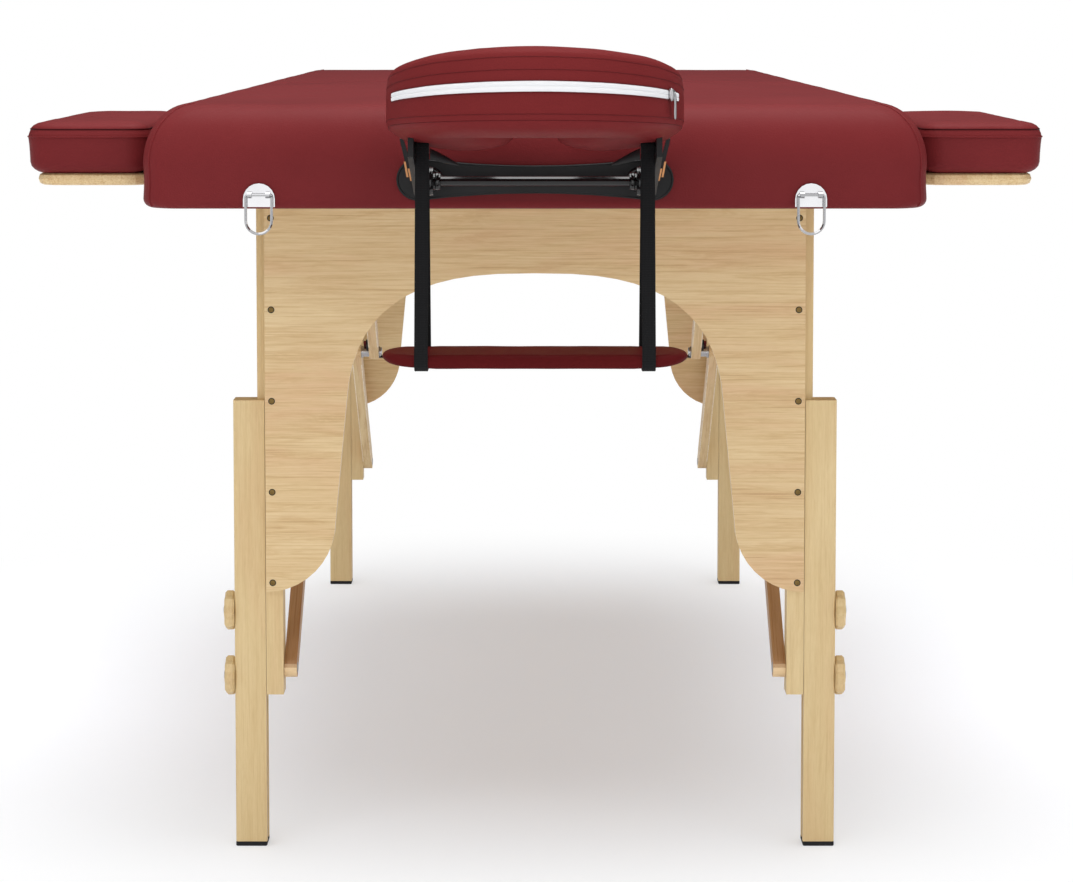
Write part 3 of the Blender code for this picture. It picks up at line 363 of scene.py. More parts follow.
def plastic(name, colour, low, high, grain=500, depth=0.00008, shine=0.25):
    shader = Shader(name, low)
    plain = shader.mapping()
    speck = shader.noise(plain, grain)
    cloud = shader.noise(plain, 18)
    lighter = tuple(min(1, channel * 1.5 + 0.002) for channel in colour[:3]) + (1,)
    shader.colour(shader.ramp(cloud, (0.3, colour), (0.75, lighter)))
    shader.roughness(speck, low, high)
    shader.bump(speck, depth, 0.4)
    shader.fix("Specular IOR Level", shine)
    return shader.material


def zip_tape(name):
    shader = Shader(name, 0.7)
    rib = shader.wave(shader.mapping(), 330, 0.3, "Z")
    shader.colour(shader.ramp(rib, (0.1, srgb(212, 212, 213)), (0.8, srgb(236, 236, 237))))
    shader.bump(rib, 0.0002, 0.5)
    return shader.material


# Pale, middle and warm tone of each kind of wood
BEECH = (srgb(228, 205, 158), srgb(221, 195, 147), srgb(219, 187, 142))
BOARD = (srgb(226, 202, 156), srgb(219, 192, 145), srgb(218, 185, 141))
LEG = (srgb(220, 196, 147), srgb(215, 190, 140), srgb(213, 185, 136))
# Beech darkened with painted shade, for the head braces that lie in the table's shadow
SHADED_BEECH = (srgb(194, 156, 112), srgb(178, 138, 96), srgb(166, 124, 84))
# Near-white tones of the paler strips along the foot braces' edges
PALE_EDGE_TONES = (srgb(248, 240, 222), srgb(244, 233, 211), srgb(241, 228, 204))
PLYWOOD = (srgb(208, 182, 144), srgb(190, 160, 120), srgb(180, 146, 106))
# Way that the head braces' lower ends face; these ends get a painted highlight, as if lit from the front
HEAD_BRACE_LIT_END = (0, -cos(BRACE_SLOPE), -sin(BRACE_SLOPE))
LOOKS = {name: make(name, *values) for make, name, *values in (
    (vinyl, "vinyl", srgb(105, 34, 36), srgb(113, 38, 40)),
    # Darker vinyl with painted shade, for the seam welts and the zip's edges
    (vinyl, "vinyl_seam", srgb(84, 24, 26), srgb(96, 30, 32)),
    # Near-black vinyl, a painted shadow line under the armrests' fold
    (vinyl, "vinyl_fold", srgb(52, 11, 13), srgb(64, 14, 16)),
    # Darker copy of the vinyl: painted shade for the arm shelf under the cushion
    (vinyl, "vinyl_shelf", srgb(76, 20, 21), srgb(86, 24, 25), 0.01),
    (vinyl, "vinyl_face", srgb(106, 36, 37), srgb(114, 40, 41), 0.02),
    (wood, "wood_x", "x", BOARD, 0.0, 0.80, "Y"),
    (wood, "wood_y", "y", BEECH),
    (wood, "wood_z", "z", LEG, 0.0, 0.38),
    # Head braces: beech with painted shade, and a painted highlight on their lower ends
    (wood, "wood_head_brace", "y", SHADED_BEECH, BRACE_SLOPE, 0.95, None, HEAD_BRACE_LIT_END),
    (wood, "wood_foot_brace", "y", BEECH, -BRACE_SLOPE),
    (wood, "wood_bare", "y", PALE_EDGE_TONES),
    (wood, "plywood", "y", PLYWOOD),
    (plastic, "rubber", srgb(24, 24, 25), 0.7, 0.85, 700, 0.0002),
    (plastic, "black_steel", srgb(8, 8, 9), 0.08, 0.16, 300, 0.00002, 0.5),
    (plastic, "black_plastic", srgb(18, 18, 19), 0.42, 0.54),
    (plastic, "buffer", srgb(92, 20, 22), 0.5, 0.65),
    # Near-black brown for the screw cups: painted shade in the countersinks
    (plastic, "screw_dark", srgb(26, 19, 10), 0.45, 0.6),
    (metal, "chrome", srgb(186, 186, 188), 0.12, 0.20),
    (metal, "steel", srgb(176, 176, 178), 0.28, 0.42, (0.1, 1, 1)),
    (metal, "bronze", srgb(122, 100, 60), 0.34, 0.5),
    (metal, "copper", srgb(186, 134, 92), 0.30, 0.42),
    (webbing, "webbing"),
    (zip_tape, "zip_tape"),
)}
# Looks of the solids, by the first pattern found in a node's name
NODE_LOOKS = (
    # The head braces take the beech with painted shade
    ("^head.*brace", "wood_head_brace"), ("brace", "wood_foot_brace"),
    ("outer_leg|inner_leg|knob", "wood_z"), ("end_panel", "wood_x"), ("frame|armrest_board", "wood_y"),
    ("deck", "plywood"), ("foot_pad_", "rubber"), ("^ring", "chrome"), ("hinge|pivot_rod", "steel"),
    ("^cradle_post|^tilt_rod$|^foot_knee_bar$", "black_steel"),
    ("^cam_lever|^outlet_plate$|^cradle_platform$", "black_plastic"),
    ("strap", "webbing"), ("pad|cushion", "vinyl"),
)


# Meshes

def place(half, point):
    """A point of a half's own frame, in the part's frame."""
    x, y, z = point
    return Vector((-x, ROOT_Y - y, z)) if half == "head" else Vector((x, ROOT_Y + y, z))


def tilted(point):
    """A point of the cradle platform's frame, in the head half's own frame."""
    x, run, rise = point
    return (x, CRADLE_Y + run * cos(CRADLE_TILT) - rise * sin(CRADLE_TILT),
            POST_Z + run * sin(CRADLE_TILT) + rise * cos(CRADLE_TILT))


def add_object(name, data):
    item = bpy.data.objects.new(name, data)
    bpy.context.scene.collection.objects.link(item)
    return item


def new_mesh(name, points, faces):
    """Mesh whose faces are turned to agree with each other."""
    work = bmesh.new()
    corners = [work.verts.new(point) for point in points]
    for face in faces:
        work.faces.new([corners[index] for index in face])
    bmesh.ops.recalc_face_normals(work, faces=work.faces)
    mesh = bpy.data.meshes.new(name)
    work.to_mesh(mesh)
    work.free()
    return mesh


def piece(name, shape, look, body, half=None, smooth=40):
    """Visible piece from points and faces, in a half's own frame or, without one, in the part's."""
    points, faces = shape
    mesh = new_mesh(name, [place(half, point) if half else point for point in points], faces)
    mesh.shade_smooth()
    mesh.set_sharp_from_angle(angle=radians(smooth))
    mesh.materials.append(LOOKS[look])
    item = add_object(name, mesh)
    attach(item, body)
    return item


def together(*shapes):
    points, faces = [], []
    for shape_points, shape_faces in shapes:
        start = len(points)
        points += shape_points
        faces += [tuple(start + index for index in face) for face in shape_faces]
    return points, faces


def loft(rings, closed=False):
    count = len(rings[0])
    points = [point for ring in rings for point in ring]
    faces = []
    for ring in range(len(rings) if closed else len(rings) - 1):
        start = ring * count
        after = (ring + 1) % len(rings) * count
        for index in range(count):
            following = (index + 1) % count
            faces.append((start + index, start + following, after + following, after + index))
    if not closed:
        faces.append(tuple(range(count)))
        faces.append(tuple(range(len(points) - count, len(points))))
    return points, faces


def turns(count):
    return [2 * pi * step / count for step in range(count)]


def tube(path, radius, closed=False, sides=8):
    """Round tube along a path of points."""
    path = [Vector(point) for point in path]
    rings = []
    last = None
    for index, point in enumerate(path):
        before = path[index - 1] if index or closed else path[0]
        after = path[(index + 1) % len(path)] if index + 1 < len(path) or closed else path[-1]
        along = (after - before).normalized()
        if last is None:
            last = along.orthogonal().normalized()
        side = (last - along * last.dot(along)).normalized()
        last = side
        other = along.cross(side)
        rings.append([tuple(point + (side * cos(turn) + other * sin(turn)) * radius)
                      for turn in turns(sides)])
    return loft(rings, closed)


def turned(profile, axis, centre, sides):
    """Solid of revolution about x or y: profile gives distance along the axis and radius."""
    rings = []
    for along, radius in profile:
        ring = []
        for angle in turns(sides):
            a, b = radius * cos(angle), radius * sin(angle)
            offset = (along, a, b) if axis == "x" else (a, along, b)
            ring.append(tuple(c + o for c, o in zip(centre, offset)))
        rings.append(ring)
    return loft(rings)


def arc(radius, start, end, steps, centre):
    angles = [start + (end - start) * step / steps for step in range(steps + 1)]
    return [(centre[0] + radius * cos(angle), centre[1] + radius * sin(angle)) for angle in angles]


def spaced(start, end, count):
    return [tuple(a + (b - a) * step / count for a, b in zip(start, end)) for step in range(1, count)]


def soften(point, size, amount):
    """Small smooth unevenness, the same on every run."""
    return noise.noise(Vector(point) * size) * amount


def carve(item, *cutters):
    """Cut closed shapes out of a piece, for good."""
    helpers = []
    for index, (points, faces) in enumerate(cutters):
        mesh = bpy.data.meshes.new("cutter")
        mesh.from_pydata(points, [], faces)
        helper = add_object("cutter", mesh)
        helpers.append(helper)
        change = item.modifiers.new(f"cut_{index}", "BOOLEAN")
        change.operation = "DIFFERENCE"
        change.solver = "EXACT"
        change.object = helper
    graph = bpy.context.evaluated_depsgraph_get()
    result = bpy.data.meshes.new_from_object(item.evaluated_get(graph))
    item.modifiers.clear()
    before = item.data
    item.data = result
    bpy.data.meshes.remove(before)
    for helper in helpers:
        mesh = helper.data
        bpy.data.objects.remove(helper)
        bpy.data.meshes.remove(mesh)


SWELLING = {"quality": 6, "mass": 0.3, "tension_stiffness": 14, "compression_stiffness": 14,
            "shear_stiffness": 6, "bending_stiffness": 0.6}


def inflate(points, faces, pinned, cap, pressure=4.0, frames=20):
    """Points of a padded cover after its panels swell between the pinned seams, moved by cap at most."""
    scene = bpy.context.scene
    mesh = new_mesh("swelling", points, faces)
    item = add_object("swelling", mesh)
    item.vertex_groups.new(name="seams").add(pinned, 1.0, "REPLACE")
    cloth = item.modifiers.new("cloth", "CLOTH")
    settings = cloth.settings
    for name, value in SWELLING.items():
        setattr(settings, name, value)
    settings.use_pressure = True
    settings.uniform_pressure_force = pressure
    settings.vertex_group_mass = "seams"
    settings.effector_weights.gravity = 0
    cloth.collision_settings.use_collision = False
    cloth.point_cache.frame_start = 1
    cloth.point_cache.frame_end = frames
    for number in range(1, frames + 1):
        scene.frame_set(number)
    graph = bpy.context.evaluated_depsgraph_get()
    moved = []
    for before, vertex in zip(points, item.evaluated_get(graph).data.vertices):
        step = vertex.co - Vector(before)
        if step.length > cap:
            step *= cap / step.length
        moved.append(tuple(Vector(before) + step))
    scene.frame_set(1)
    bpy.data.objects.remove(item)
    bpy.data.meshes.remove(mesh)
    return moved


# Table top

CORNER_STEPS = 8
EDGE_STEPS = 14


def pad_corner(inset):
    return min(PAD_CORNER, (HALF_WIDTH - inset) * 0.8)


def pad_outline(inset, fold_inset):
    half_width, far, near = HALF_WIDTH - inset, HALF_LENGTH - inset, FOLD_GAP + fold_inset
    radius = pad_corner(inset)
    small = PAD_CORNER / 8
    points = arc(radius, 0, pi / 2, CORNER_STEPS, (half_width - radius, far - radius))
    left = arc(radius, pi / 2, pi, CORNER_STEPS, (radius - half_width, far - radius))
    points += spaced(points[-1], left[0], 16) + left
    low_left = arc(small, pi, pi * 1.5, 3, (small - half_width, near + small))
    points += spaced(points[-1], low_left[0], 18) + low_left
    low_right = arc(small, pi * 1.5, pi * 2, 3, (half_width - small, near + small))
    points += spaced(points[-1], low_right[0], 16) + low_right
    points += spaced(points[-1], points[0], 18)
    return points


def edge_profile(steps):
    """Rounded edge whose bend eases off towards the top, as shares of its run and its rise."""
    fine = 40 * steps
    run = rise = 0.0
    samples = [(0.0, 0.0)]
    for step in range(fine):
        share = (step + 0.5) / fine
        angle = pi / 2 * (1 - share) ** 1.2
        run += cos(angle)
        rise += sin(angle)
        samples.append((run, rise))
    return [(a / run, b / rise) for a, b in samples[::40]]


def pad_stations():
    """Inset and height of each ring from the skirt's lower edge to the top's middle."""
    shoulder = TOP_HEIGHT - PAD_CROWN - PAD_EDGE_RISE
    lip = SKIRT_BOTTOM + PAD_LIP
    stations = []
    for step in range(7):
        angle = pi / 2 * step / 6
        stations.append((PAD_LIP * (1 - sin(angle)), lip - PAD_LIP * cos(angle)))
    stations += [(0.0006, lip + (shoulder - lip) * 0.35), (0.0007, lip + (shoulder - lip) * 0.7)]
    for run, rise in edge_profile(EDGE_STEPS):
        stations.append((PAD_EDGE_IN * run, shoulder + PAD_EDGE_RISE * rise))
    flat = HALF_WIDTH - PAD_EDGE_IN
    for share in (0.08, 0.2, 0.35, 0.5, 0.65, 0.8, 0.91):
        stations.append((PAD_EDGE_IN + flat * share, TOP_HEIGHT - PAD_CROWN * (1 - share) ** 2))
    return stations


def make_pad(half):
    inner = pad_outline(SKIRT_WALL, FOLD_WALL)
    rings = [[(x, y, DECK_TOP) for x, y in inner], [(x, y, SKIRT_BOTTOM + SKIRT_TUCK) for x, y in inner]]
    for inset, height in pad_stations():
        crest = min(1, max(0, (height - TOP_HEIGHT + CREST_DROP) / CREST_RUN))
        raised = crest * min(1, (HALF_WIDTH - inset) / 0.15 - 0.2)
        ring = []
        for x, y in pad_outline(inset, min(inset * FOLD_SOFTNESS, FOLD_SOFT_LIMIT)):
            lift = soften((x, y, height + WAVE_SHIFT), *BROAD_WAVE) + soften((x, y, height), *FINE_WAVE)
            inward = 1 - max(lift, 0) * 1.2 * (1 - crest)
            ring.append((x * inward, y, height + lift * raised))
        rings.append(ring)
    item = piece(f"{half}_padding", loft(rings), "vinyl", f"{half}_half", half, 60)
    if half == "head":
        holes = []
        for side in (1, -1):
            holes.append(turned([(-0.03, POST_BORE), (0.01, POST_BORE)], "y",
                                place(half, (side * POST_X, HALF_LENGTH, POST_Z)), 16))
            for offset in (-DOWEL_SPACING / 2, DOWEL_SPACING / 2):
                spot = place(half, (side * HALF_WIDTH, ARMREST_MIDDLE + offset, DOWEL_Z))
                holes.append(turned([(-0.02, DOWEL_BORE), (0.02, DOWEL_BORE)], "x", spot, 12))
        carve(item, *holes)
    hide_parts(f"{half}_pad")


def pad_seams(half):
    """Sewn corner seams of the cover, with the welt that the seam allowance lifts."""
    shapes = []
    for side in (1, -1):
        path = []
        for inset, height in pad_stations():
            if inset > CORNER_SEAM_END and height > TOP_HEIGHT - CREST_DROP:
                break
            radius = pad_corner(inset)
            x = HALF_WIDTH - inset - radius + radius * cos(pi / 4)
            y = HALF_LENGTH - inset - radius + radius * sin(pi / 4)
            path.append((side * x, y, height))
        shapes.append(tube(path[3:], CORNER_SEAM_RADIUS))
    piece(f"{half}_corner_seams", together(*shapes), "vinyl", f"{half}_half", half, 60)


# Face cradle

def horseshoe(limb, width, length, count, cap_steps):
    """Stations round the cushion's bow: middle, way out, way along, taper, and angle about its centre."""
    run, reach = (width - limb) / 2, (length - limb) / (1 + cos(CUSHION_MOUTH))
    centre = CUSHION_BACK + length - limb / 2 - reach
    first, last = CUSHION_MOUTH - pi / 2, pi * 1.5 - CUSHION_MOUTH
    stations = []
    for step in range(count + 1):
        angle = first + (last - first) * step / count
        spot = Vector((run * cos(angle), centre + reach * sin(angle)))
        along = Vector((-run * sin(angle), reach * cos(angle))).normalized()
        stations.append((spot, Vector((along.y, -along.x)), along, 1.0, angle))
    ends = []
    for (spot, out, along, _, _), direction in ((stations[0], -1), (stations[-1], 1)):
        cap = []
        for step in range(1, cap_steps + 1):
            turn = radians(84) * step / cap_steps
            cap.append((spot + along * (direction * limb / 2 * sin(turn)), out, along, cos(turn), -pi / 2))
        ends.append(cap)
    return list(reversed(ends[0])) + stations + ends[1]


def cushion_section():
    """Share of the half width, height, and seam name, from the belly's middle up to the crown's."""
    belly = ((0.18, 0.98), (0.36, 0.90), (0.52, 0.74), (0.66, 0.50), (0.78, 0.19))
    rows = [(share, -CUSHION_BELLY * depth, "") for share, depth in belly]
    rows += [(0.875, 0.0012, ""), (0.938, UNDER_SEAMS[0], "under"), (0.967, 0.0064, ""),
             (0.984, UNDER_SEAMS[1], "lower")]
    low, high = ZIP_EDGES
    for height in (0.0135, 0.0185, 0.0235):
        rows.append((0.988, height, ""))
    rows += [(0.990, low, "zip_low"), (0.990, (low + high) / 2, "zip_mid"), (0.988, high, "zip_high"),
             (0.985, 0.0445, ""), (0.980, UPPER_SEAMS[0], "upper"), (0.972, 0.0557, ""),
             (0.952, UPPER_SEAMS[1], "top")]
    rise = CUSHION_THICK - 0.001 - UPPER_SEAMS[1]
    for step in range(1, 9):
        angle = pi / 2 * step / 9
        rows.append((0.952 * cos(angle) ** 0.8, UPPER_SEAMS[1] + rise * sin(angle) ** 0.86, ""))
    return rows


def wedge(run, share, height):
    """Lift that makes the cushion deep at its outer end and shallow towards its lobes."""
    back = min(1.2, max(0.0, (0.265 - run) / 0.125))
    low = min(0.0104 if abs(share) > 0.7 else 0.0086, -0.0022 + 0.0128 * back)
    top = 0.0016 - 0.0060 * back
    level = min(1.0, max(0.0, (height - UNDER_SEAMS[1]) / (UPPER_SEAMS[1] - UNDER_SEAMS[1])))
    return low * (1 - level) + top * level


def cushion_point(station, share, height):
    spot, out, _, taper, _ = station
    point = spot + out * (share * CUSHION_LIMB / 2 * taper)
    lift = CUSHION_MIDDLE + (height - CUSHION_MIDDLE) * (0.20 + 0.80 * taper ** 0.7)
    return (point.x, point.y, CUSHION_RISE + lift + wedge(spot.y, share, height))


def make_face_cushion():
    stations = horseshoe(CUSHION_LIMB, CUSHION_WIDTH, CUSHION_LENGTH, 64, 7)
    half_rows = cushion_section()
    rows = half_rows + [(0.0, CUSHION_THICK - 0.001, "")]
    for share, height, name in reversed(half_rows):
        rows.append((-share, height, name + "_inside" if name else ""))
    rows.append((0.0, -CUSHION_BELLY, ""))
    count = len(rows)
    points, pinned = [], []
    for station in stations:
        for share, height, name in rows:
            x, y, z = cushion_point(station, share, height)
            near_zip = abs(station[4] - pi / 2) <= ZIP_HALF_SPAN
            if name and (not name.startswith("zip") or (near_zip and not name.endswith("inside"))):
                pinned.append(len(points))
            points.append(tilted((x, y, z + soften((x, y, z), 24, 0.0005) * max(0, height) / CUSHION_THICK)))
    faces = loft([points[start:start + count] for start in range(0, len(points), count)])[1]
    points = inflate(points, faces, pinned, CUSHION_SWELL)
    cover = points, faces
    item = piece("face_padding", cover, "vinyl_face", "cradle_platform", "head", 80)
    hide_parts("face_cushion")

    def row(name, first=0, last=None):
        index = next(number for number, entry in enumerate(rows) if entry[2] == name)
        return [Vector(points[start * count + index]) for start in range(len(stations))][first:last]

    shapes = []
    for name in ("lower", "under", "upper", "top"):
        for suffix in ("", "_inside"):
            shapes.append(tube(row(name + suffix), CUSHION_SEAM_RADIUS, sides=6))
    seams = together(*shapes)
    # The welts are darker with painted shade of the seams
    piece("face_cushion_seams", seams, "vinyl_seam", "cradle_platform", "head", 70)
    front = [number for number, station in enumerate(stations) if abs(station[4] - pi / 2) <= ZIP_HALF_SPAN]
    span = (front[0], front[-1] + 1)
    make_zip(row("zip_low", *span), row("zip_mid", *span), row("zip_high", *span),
             [stations[number][1] for number in front])


def zip_ahead(side):
    """Way out of the tilted cushion, from the way out in its own plane."""
    return Vector((side.x, side.y * cos(CRADLE_TILT), side.y * sin(CRADLE_TILT)))


def make_zip(low, middle, high, out):
    """White zip round the front of the cushion, with its tape, lips, slider and pull."""
    rings, lips = [], ([], [])
    for below, centre, above, side in zip(low, middle, high, out):
        ahead = zip_ahead(side)
        ring = []
        for spot, share, lift in ((below, 0.0, -0.0012), (below, 0.0, 0.0004), (centre, 0.30, 0.0010),
                                  (centre, 0.07, 0.0010), (centre, 0.0, 0.0004), (centre, -0.07, 0.0010),
                                  (centre, -0.30, 0.0010), (above, 0.0, 0.0004), (above, 0.0, -0.0012)):
            ring.append(tuple(spot + (below - above) * share + ahead * lift))
        rings.append(ring)
        lips[0].append(below + ahead * 0.0002)
        lips[1].append(above + ahead * 0.0002)
    piece("zip_tape", loft(rings), "zip_tape", "cradle_platform", "head", 50)
    edges = together(*(tube(lip, ZIP_LIP_RADIUS, sides=6) for lip in lips))
    # The zip's edges are darker with painted shade
    piece("zip_lips", edges, "vinyl_seam", "cradle_platform", "head", 60)

    ahead = zip_ahead(out[-3])
    along = (middle[-2] - middle[-4]).normalized()
    up = along.cross(ahead).normalized()
    up = up if up.z > 0 else -up
    spot = middle[-3] + ahead * 0.0010
    body = []
    for lift, long, tall in ((0.0, 0.0042, 0.0054), (0.0020, 0.0045, 0.0058), (0.0034, 0.0039, 0.0049),
                             (0.0042, 0.0024, 0.0030)):
        body.append([tuple(spot + ahead * lift + along * (a * long) + up * (b * tall))
                     for a, b in ((-1, -0.6), (-0.6, -1), (0.6, -0.75), (1, -0.4), (1, 0.4), (0.6, 0.75),
                                  (-0.6, 1), (-1, 0.6))])
    hang = spot + ahead * 0.0042
    bail = tube([spot + up * 0.0030 + ahead * 0.0026, hang + up * 0.0020, hang - up * 0.0010,
                 spot - up * 0.0026 + ahead * 0.0026], 0.0009)
    pull = []
    for fall, wide, thick in ((0.0003, 0.0012, 0.0006), (0.0025, 0.0021, 0.0009), (0.0090, 0.0017, 0.0009),
                              (0.0165, 0.0022, 0.0009), (0.0200, 0.0019, 0.0008), (0.0214, 0.0009, 0.0005)):
        centre = hang - Vector((0, 0, 1)) * fall + ahead * 0.0004
        pull.append([tuple(centre + along * (wide * cos(turn)) + ahead * (thick * sin(turn)))
                     for turn in turns(10)])
    slider = together(loft(body), bail, loft(pull))
    piece("zip_slider", slider, "steel", "cradle_platform", "head")


def outlet_outline():
    centre = OUTLET_LENGTH / 2 - OUTLET_END_RADIUS
    start = radians(96)
    right = arc(OUTLET_END_RADIUS, -start, start, 20, (centre, 0))
    shoulder = right[-1]
    waist = []
    for step in range(1, 20):
        share = step / 20
        height = OUTLET_WAIST + (shoulder[1] - OUTLET_WAIST) * (1 - 2 * share) ** 2
        waist.append((shoulder[0] * (1 - 2 * share), height))
    return right + waist + [(-x, -z) for x, z in right + waist]


def make_cradle_trim():
    """Rim of the outlet plate, collars, knuckles of the tilt rod, strips of the levers, and strap hooks."""
    rim = [(x * 0.990, OUTLET_FRONT, POST_Z + z * 0.93) for x, z in outlet_outline()]
    bead = tube(rim, OUTLET_RIM_RADIUS, True)
    piece("outlet_rim", bead, "black_plastic", "head_half", "head", 60)
    collars, rounds = [], []
    for side in (1, -1):
        profile = [(depth, POST_BORE + grow) for depth, grow in
                   ((0.0, 0.0003), (0.0, 0.0036), (0.0012, 0.0033), (0.0016, 0.0026), (0.0016, 0.0003))]
        points, faces = turned(profile, "y", (side * POST_X, OUTLET_FRONT - 0.0001, POST_Z), 28)
        collars.append((points, [face for face in faces if len(face) == 4]))
        for middle, half, radius in ((POST_X, 0.0031, 0.0138), (POST_X - 0.0066, 0.0034, 0.0086)):
            profile = [(side * (middle + half * sin(turn)), radius - half * 0.9 + half * 0.9 * cos(turn))
                       for turn in (radians(-90 + 18 * step) for step in range(11))]
            rounds.append(turned(profile, "x", (0, CRADLE_Y, POST_Z), 36))
    piece("post_collars", together(*collars), "black_steel", "head_half", "head")
    piece("tilt_knuckles", together(*rounds), "black_steel", "cradle_base", "head", 60)
    for side, label in SIDES:
        front = CRADLE_Y + LEVER_WIDTH / 2
        copper = []
        for shift, low, high in ((0.0006, 0.004, 0.0185), (-0.0030, 0.0005, 0.0120)):
            strip = []
            for z, lean in ((low, 0.0), (high, 0.0026)):
                x = LEVER_X + shift + lean
                strip.append([(side * (x + dx), front + dy, POST_Z + z) for dx, dy in
                              ((-0.0009, -0.0004), (0.0009, -0.0004), (0.0009, 0.0005), (-0.0009, 0.0005))])
            copper.append(loft(strip))
        lever = f"cam_lever_{label}"
        piece(f"lever_strips_{label}", together(*copper), "copper", lever, "head")
        tip = []
        for z, wide in ((-0.0075, 0.0010), (-0.0060, 0.0017), (-0.0010, 0.0015), (0.0006, 0.0008)):
            x = LEVER_X + LEVER_THICK * 1.42
            tip.append([(side * (x + wide * cos(turn)), CRADLE_Y + LEVER_WIDTH * 0.49 * sin(turn),
                         POST_Z + LEVER_LENGTH + z) for turn in turns(14)])
        piece(f"lever_tip_{label}", loft(tip), "chrome", lever, "head")
        blade = []
        for share, tall, thick in ((0.0, 0.0050, 0.0026), (0.35, 0.0042, 0.0022), (0.75, 0.0024, 0.0016),
                                   (1.0, 0.0007, 0.0008)):
            x = STRAP_X - STRAP_WIDTH / 2 - 0.0008 - 0.025 * share
            run = HANGER_RUN - 0.004 - 0.030 * share
            rise = HANGER_RISE - 0.0045 - 0.0070 * share
            blade.append([tilted((side * x, run + thick * sin(turn), rise + tall * cos(turn)))
                          for turn in turns(12)])
        piece(f"strap_hook_{label}", loft(blade), "black_plastic", "cradle_platform", "head")


# Arm shelf

def shelf_pivot():
    return tilted((0, HANGER_RUN, HANGER_RISE))[1:]


def strap_loop(grow):
    """Strap seen from the side: round over the peg, down, and round under the shelf."""
    middle, top = shelf_pivot()
    radius = HANGER_RADIUS + STRAP_FIT + grow
    half = SHELF_DEPTH / 2 + STRAP_FIT + grow
    corner = SHELF_THICK / 2 + grow
    low = top - SHELF_HANG
    points = arc(radius, radians(12), radians(168), 16, (middle, top))
    behind = arc(corner, pi, pi * 1.5, 8, (middle - half + corner, low + corner - grow))
    points += spaced(points[-1], behind[0], 8) + behind
    front = arc(corner, pi * 1.5, pi * 2, 8, (middle + half - corner, low + corner - grow))
    points += spaced(points[-1], front[0], 4) + front
    return points + spaced(points[-1], points[0], 8)


def shelf_outline(inset):
    """Rounded ends of the shelf, blunter than half circles."""
    reach, nose = SHELF_WIDTH / 2 - inset, SHELF_DEPTH / 2 - inset
    run = nose * 0.80
    right = []
    for step in range(17):
        turn = -pi / 2 + pi * step / 16
        right.append((reach - run + run * cos(turn) ** 0.74, nose * (sin(turn) if step else -1.0)))
    left = [(-x, -y) for x, y in right]
    return right + spaced(right[-1], left[0], 14) + left + spaced(left[-1], right[0], 14)


def make_shelf():
    middle, top = shelf_pivot()
    low = top - SHELF_HANG + STRAP_FIT
    rings = []
    stations = [(0.030, -1.0), (0.016, -1.0)]
    for step in range(13):
        angle = -pi / 2 + pi * step / 12
        stations.append((0.0082 * (1 - cos(angle) ** 0.85), sin(angle)))
    stations += [(0.016, 1.0), (0.030, 1.0)]
    for inset, level in stations:
        ring = []
        for x, y in shelf_outline(inset):
            dent = 0.0005 * max(0, 1 - abs(abs(x) - STRAP_X) / 0.016)
            puff = 0.0004 + soften((x, y, level), 30, 0.0004) - dent
            rise = 0.0040 * max(0, (abs(x) - 0.095) / 0.043) ** 1.5 * (1 - level) / 2
            sink = 0.0022 * (1 + level) / 2
            height = low + SHELF_THICK / 2 + (SHELF_THICK / 2 - 0.0004 + puff) * level
            ring.append((x, middle + y, height + rise - sink))
        rings.append(ring)
    # The shelf's darker vinyl is painted shade
    item = piece("arm_shelf_padding", loft(rings), "vinyl_shelf", "arm_shelf", "head", 60)
    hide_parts("arm_shelf_pad")
    half, thick = STRAP_WIDTH / 2, STRAP_THICK
    section = ((-0.90, 0.0001), (0.90, 0.0001), (1.0, 0.0006), (1.0, thick - 0.0006), (0.90, thick - 0.0001),
               (0.60, thick - 0.0002), (-0.60, thick - 0.0002), (-0.90, thick - 0.0001),
               (-1.0, thick - 0.0006), (-1.0, 0.0006))
    for side, label in SIDES:
        rings = [[(side * STRAP_X + across * half, y, z) for y, z in strap_loop(grow)]
                 for across, grow in section]
        loop = loft(rings, closed=True)
        item = piece(f"shelf_webbing_{label}", loop, "webbing", "arm_shelf", "head", 50)
        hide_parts(f"shelf_strap_{label}")


# Armrests

def block_ring(centre, half_width, half_length, corner, height):
    points = []
    for start, (across, along) in zip((0, pi / 2, pi, pi * 1.5), ((1, 1), (-1, 1), (-1, -1), (1, -1))):
        spot = (centre[0] + across * (half_width - corner), centre[1] + along * (half_length - corner))
        turn = arc(corner, start, start + pi / 2, 6, spot)
        if points:
            points += spaced(points[-1], turn[0], 12 if start in (pi / 2, pi * 1.5) else 30)
        points += turn
    points += spaced(points[-1], points[0], 30)
    return [(x, y, height) for x, y in points]


# Inset and height of each ring of an armrest's cover, with the rings that carry its piping and its fold
ARMREST_ROWS = (
    (0.0150, 0.0), (0.0105, 0.0012), (0.0064, 0.0036), (0.0034, 0.0068), (0.0022, 0.0110),
    (0.0019, 0.0190), (0.0013, 0.0280), (0.0004, 0.0357), (0.0014, 0.0395), (0.0030, 0.0431),
    (0.0032, 0.0441), (0.0056, 0.0466), (0.0100, 0.0488), (0.0170, 0.0503), (0.0270, 0.0512),
    (0.0390, 0.0517), (0.0500, 0.0519),
)
PIPING_ROW, PIPING_RADIUS = 7, 0.0009
FOLD_ROW, FOLD_RADIUS = 9, 0.0008
ARMREST_CREST = 0.044


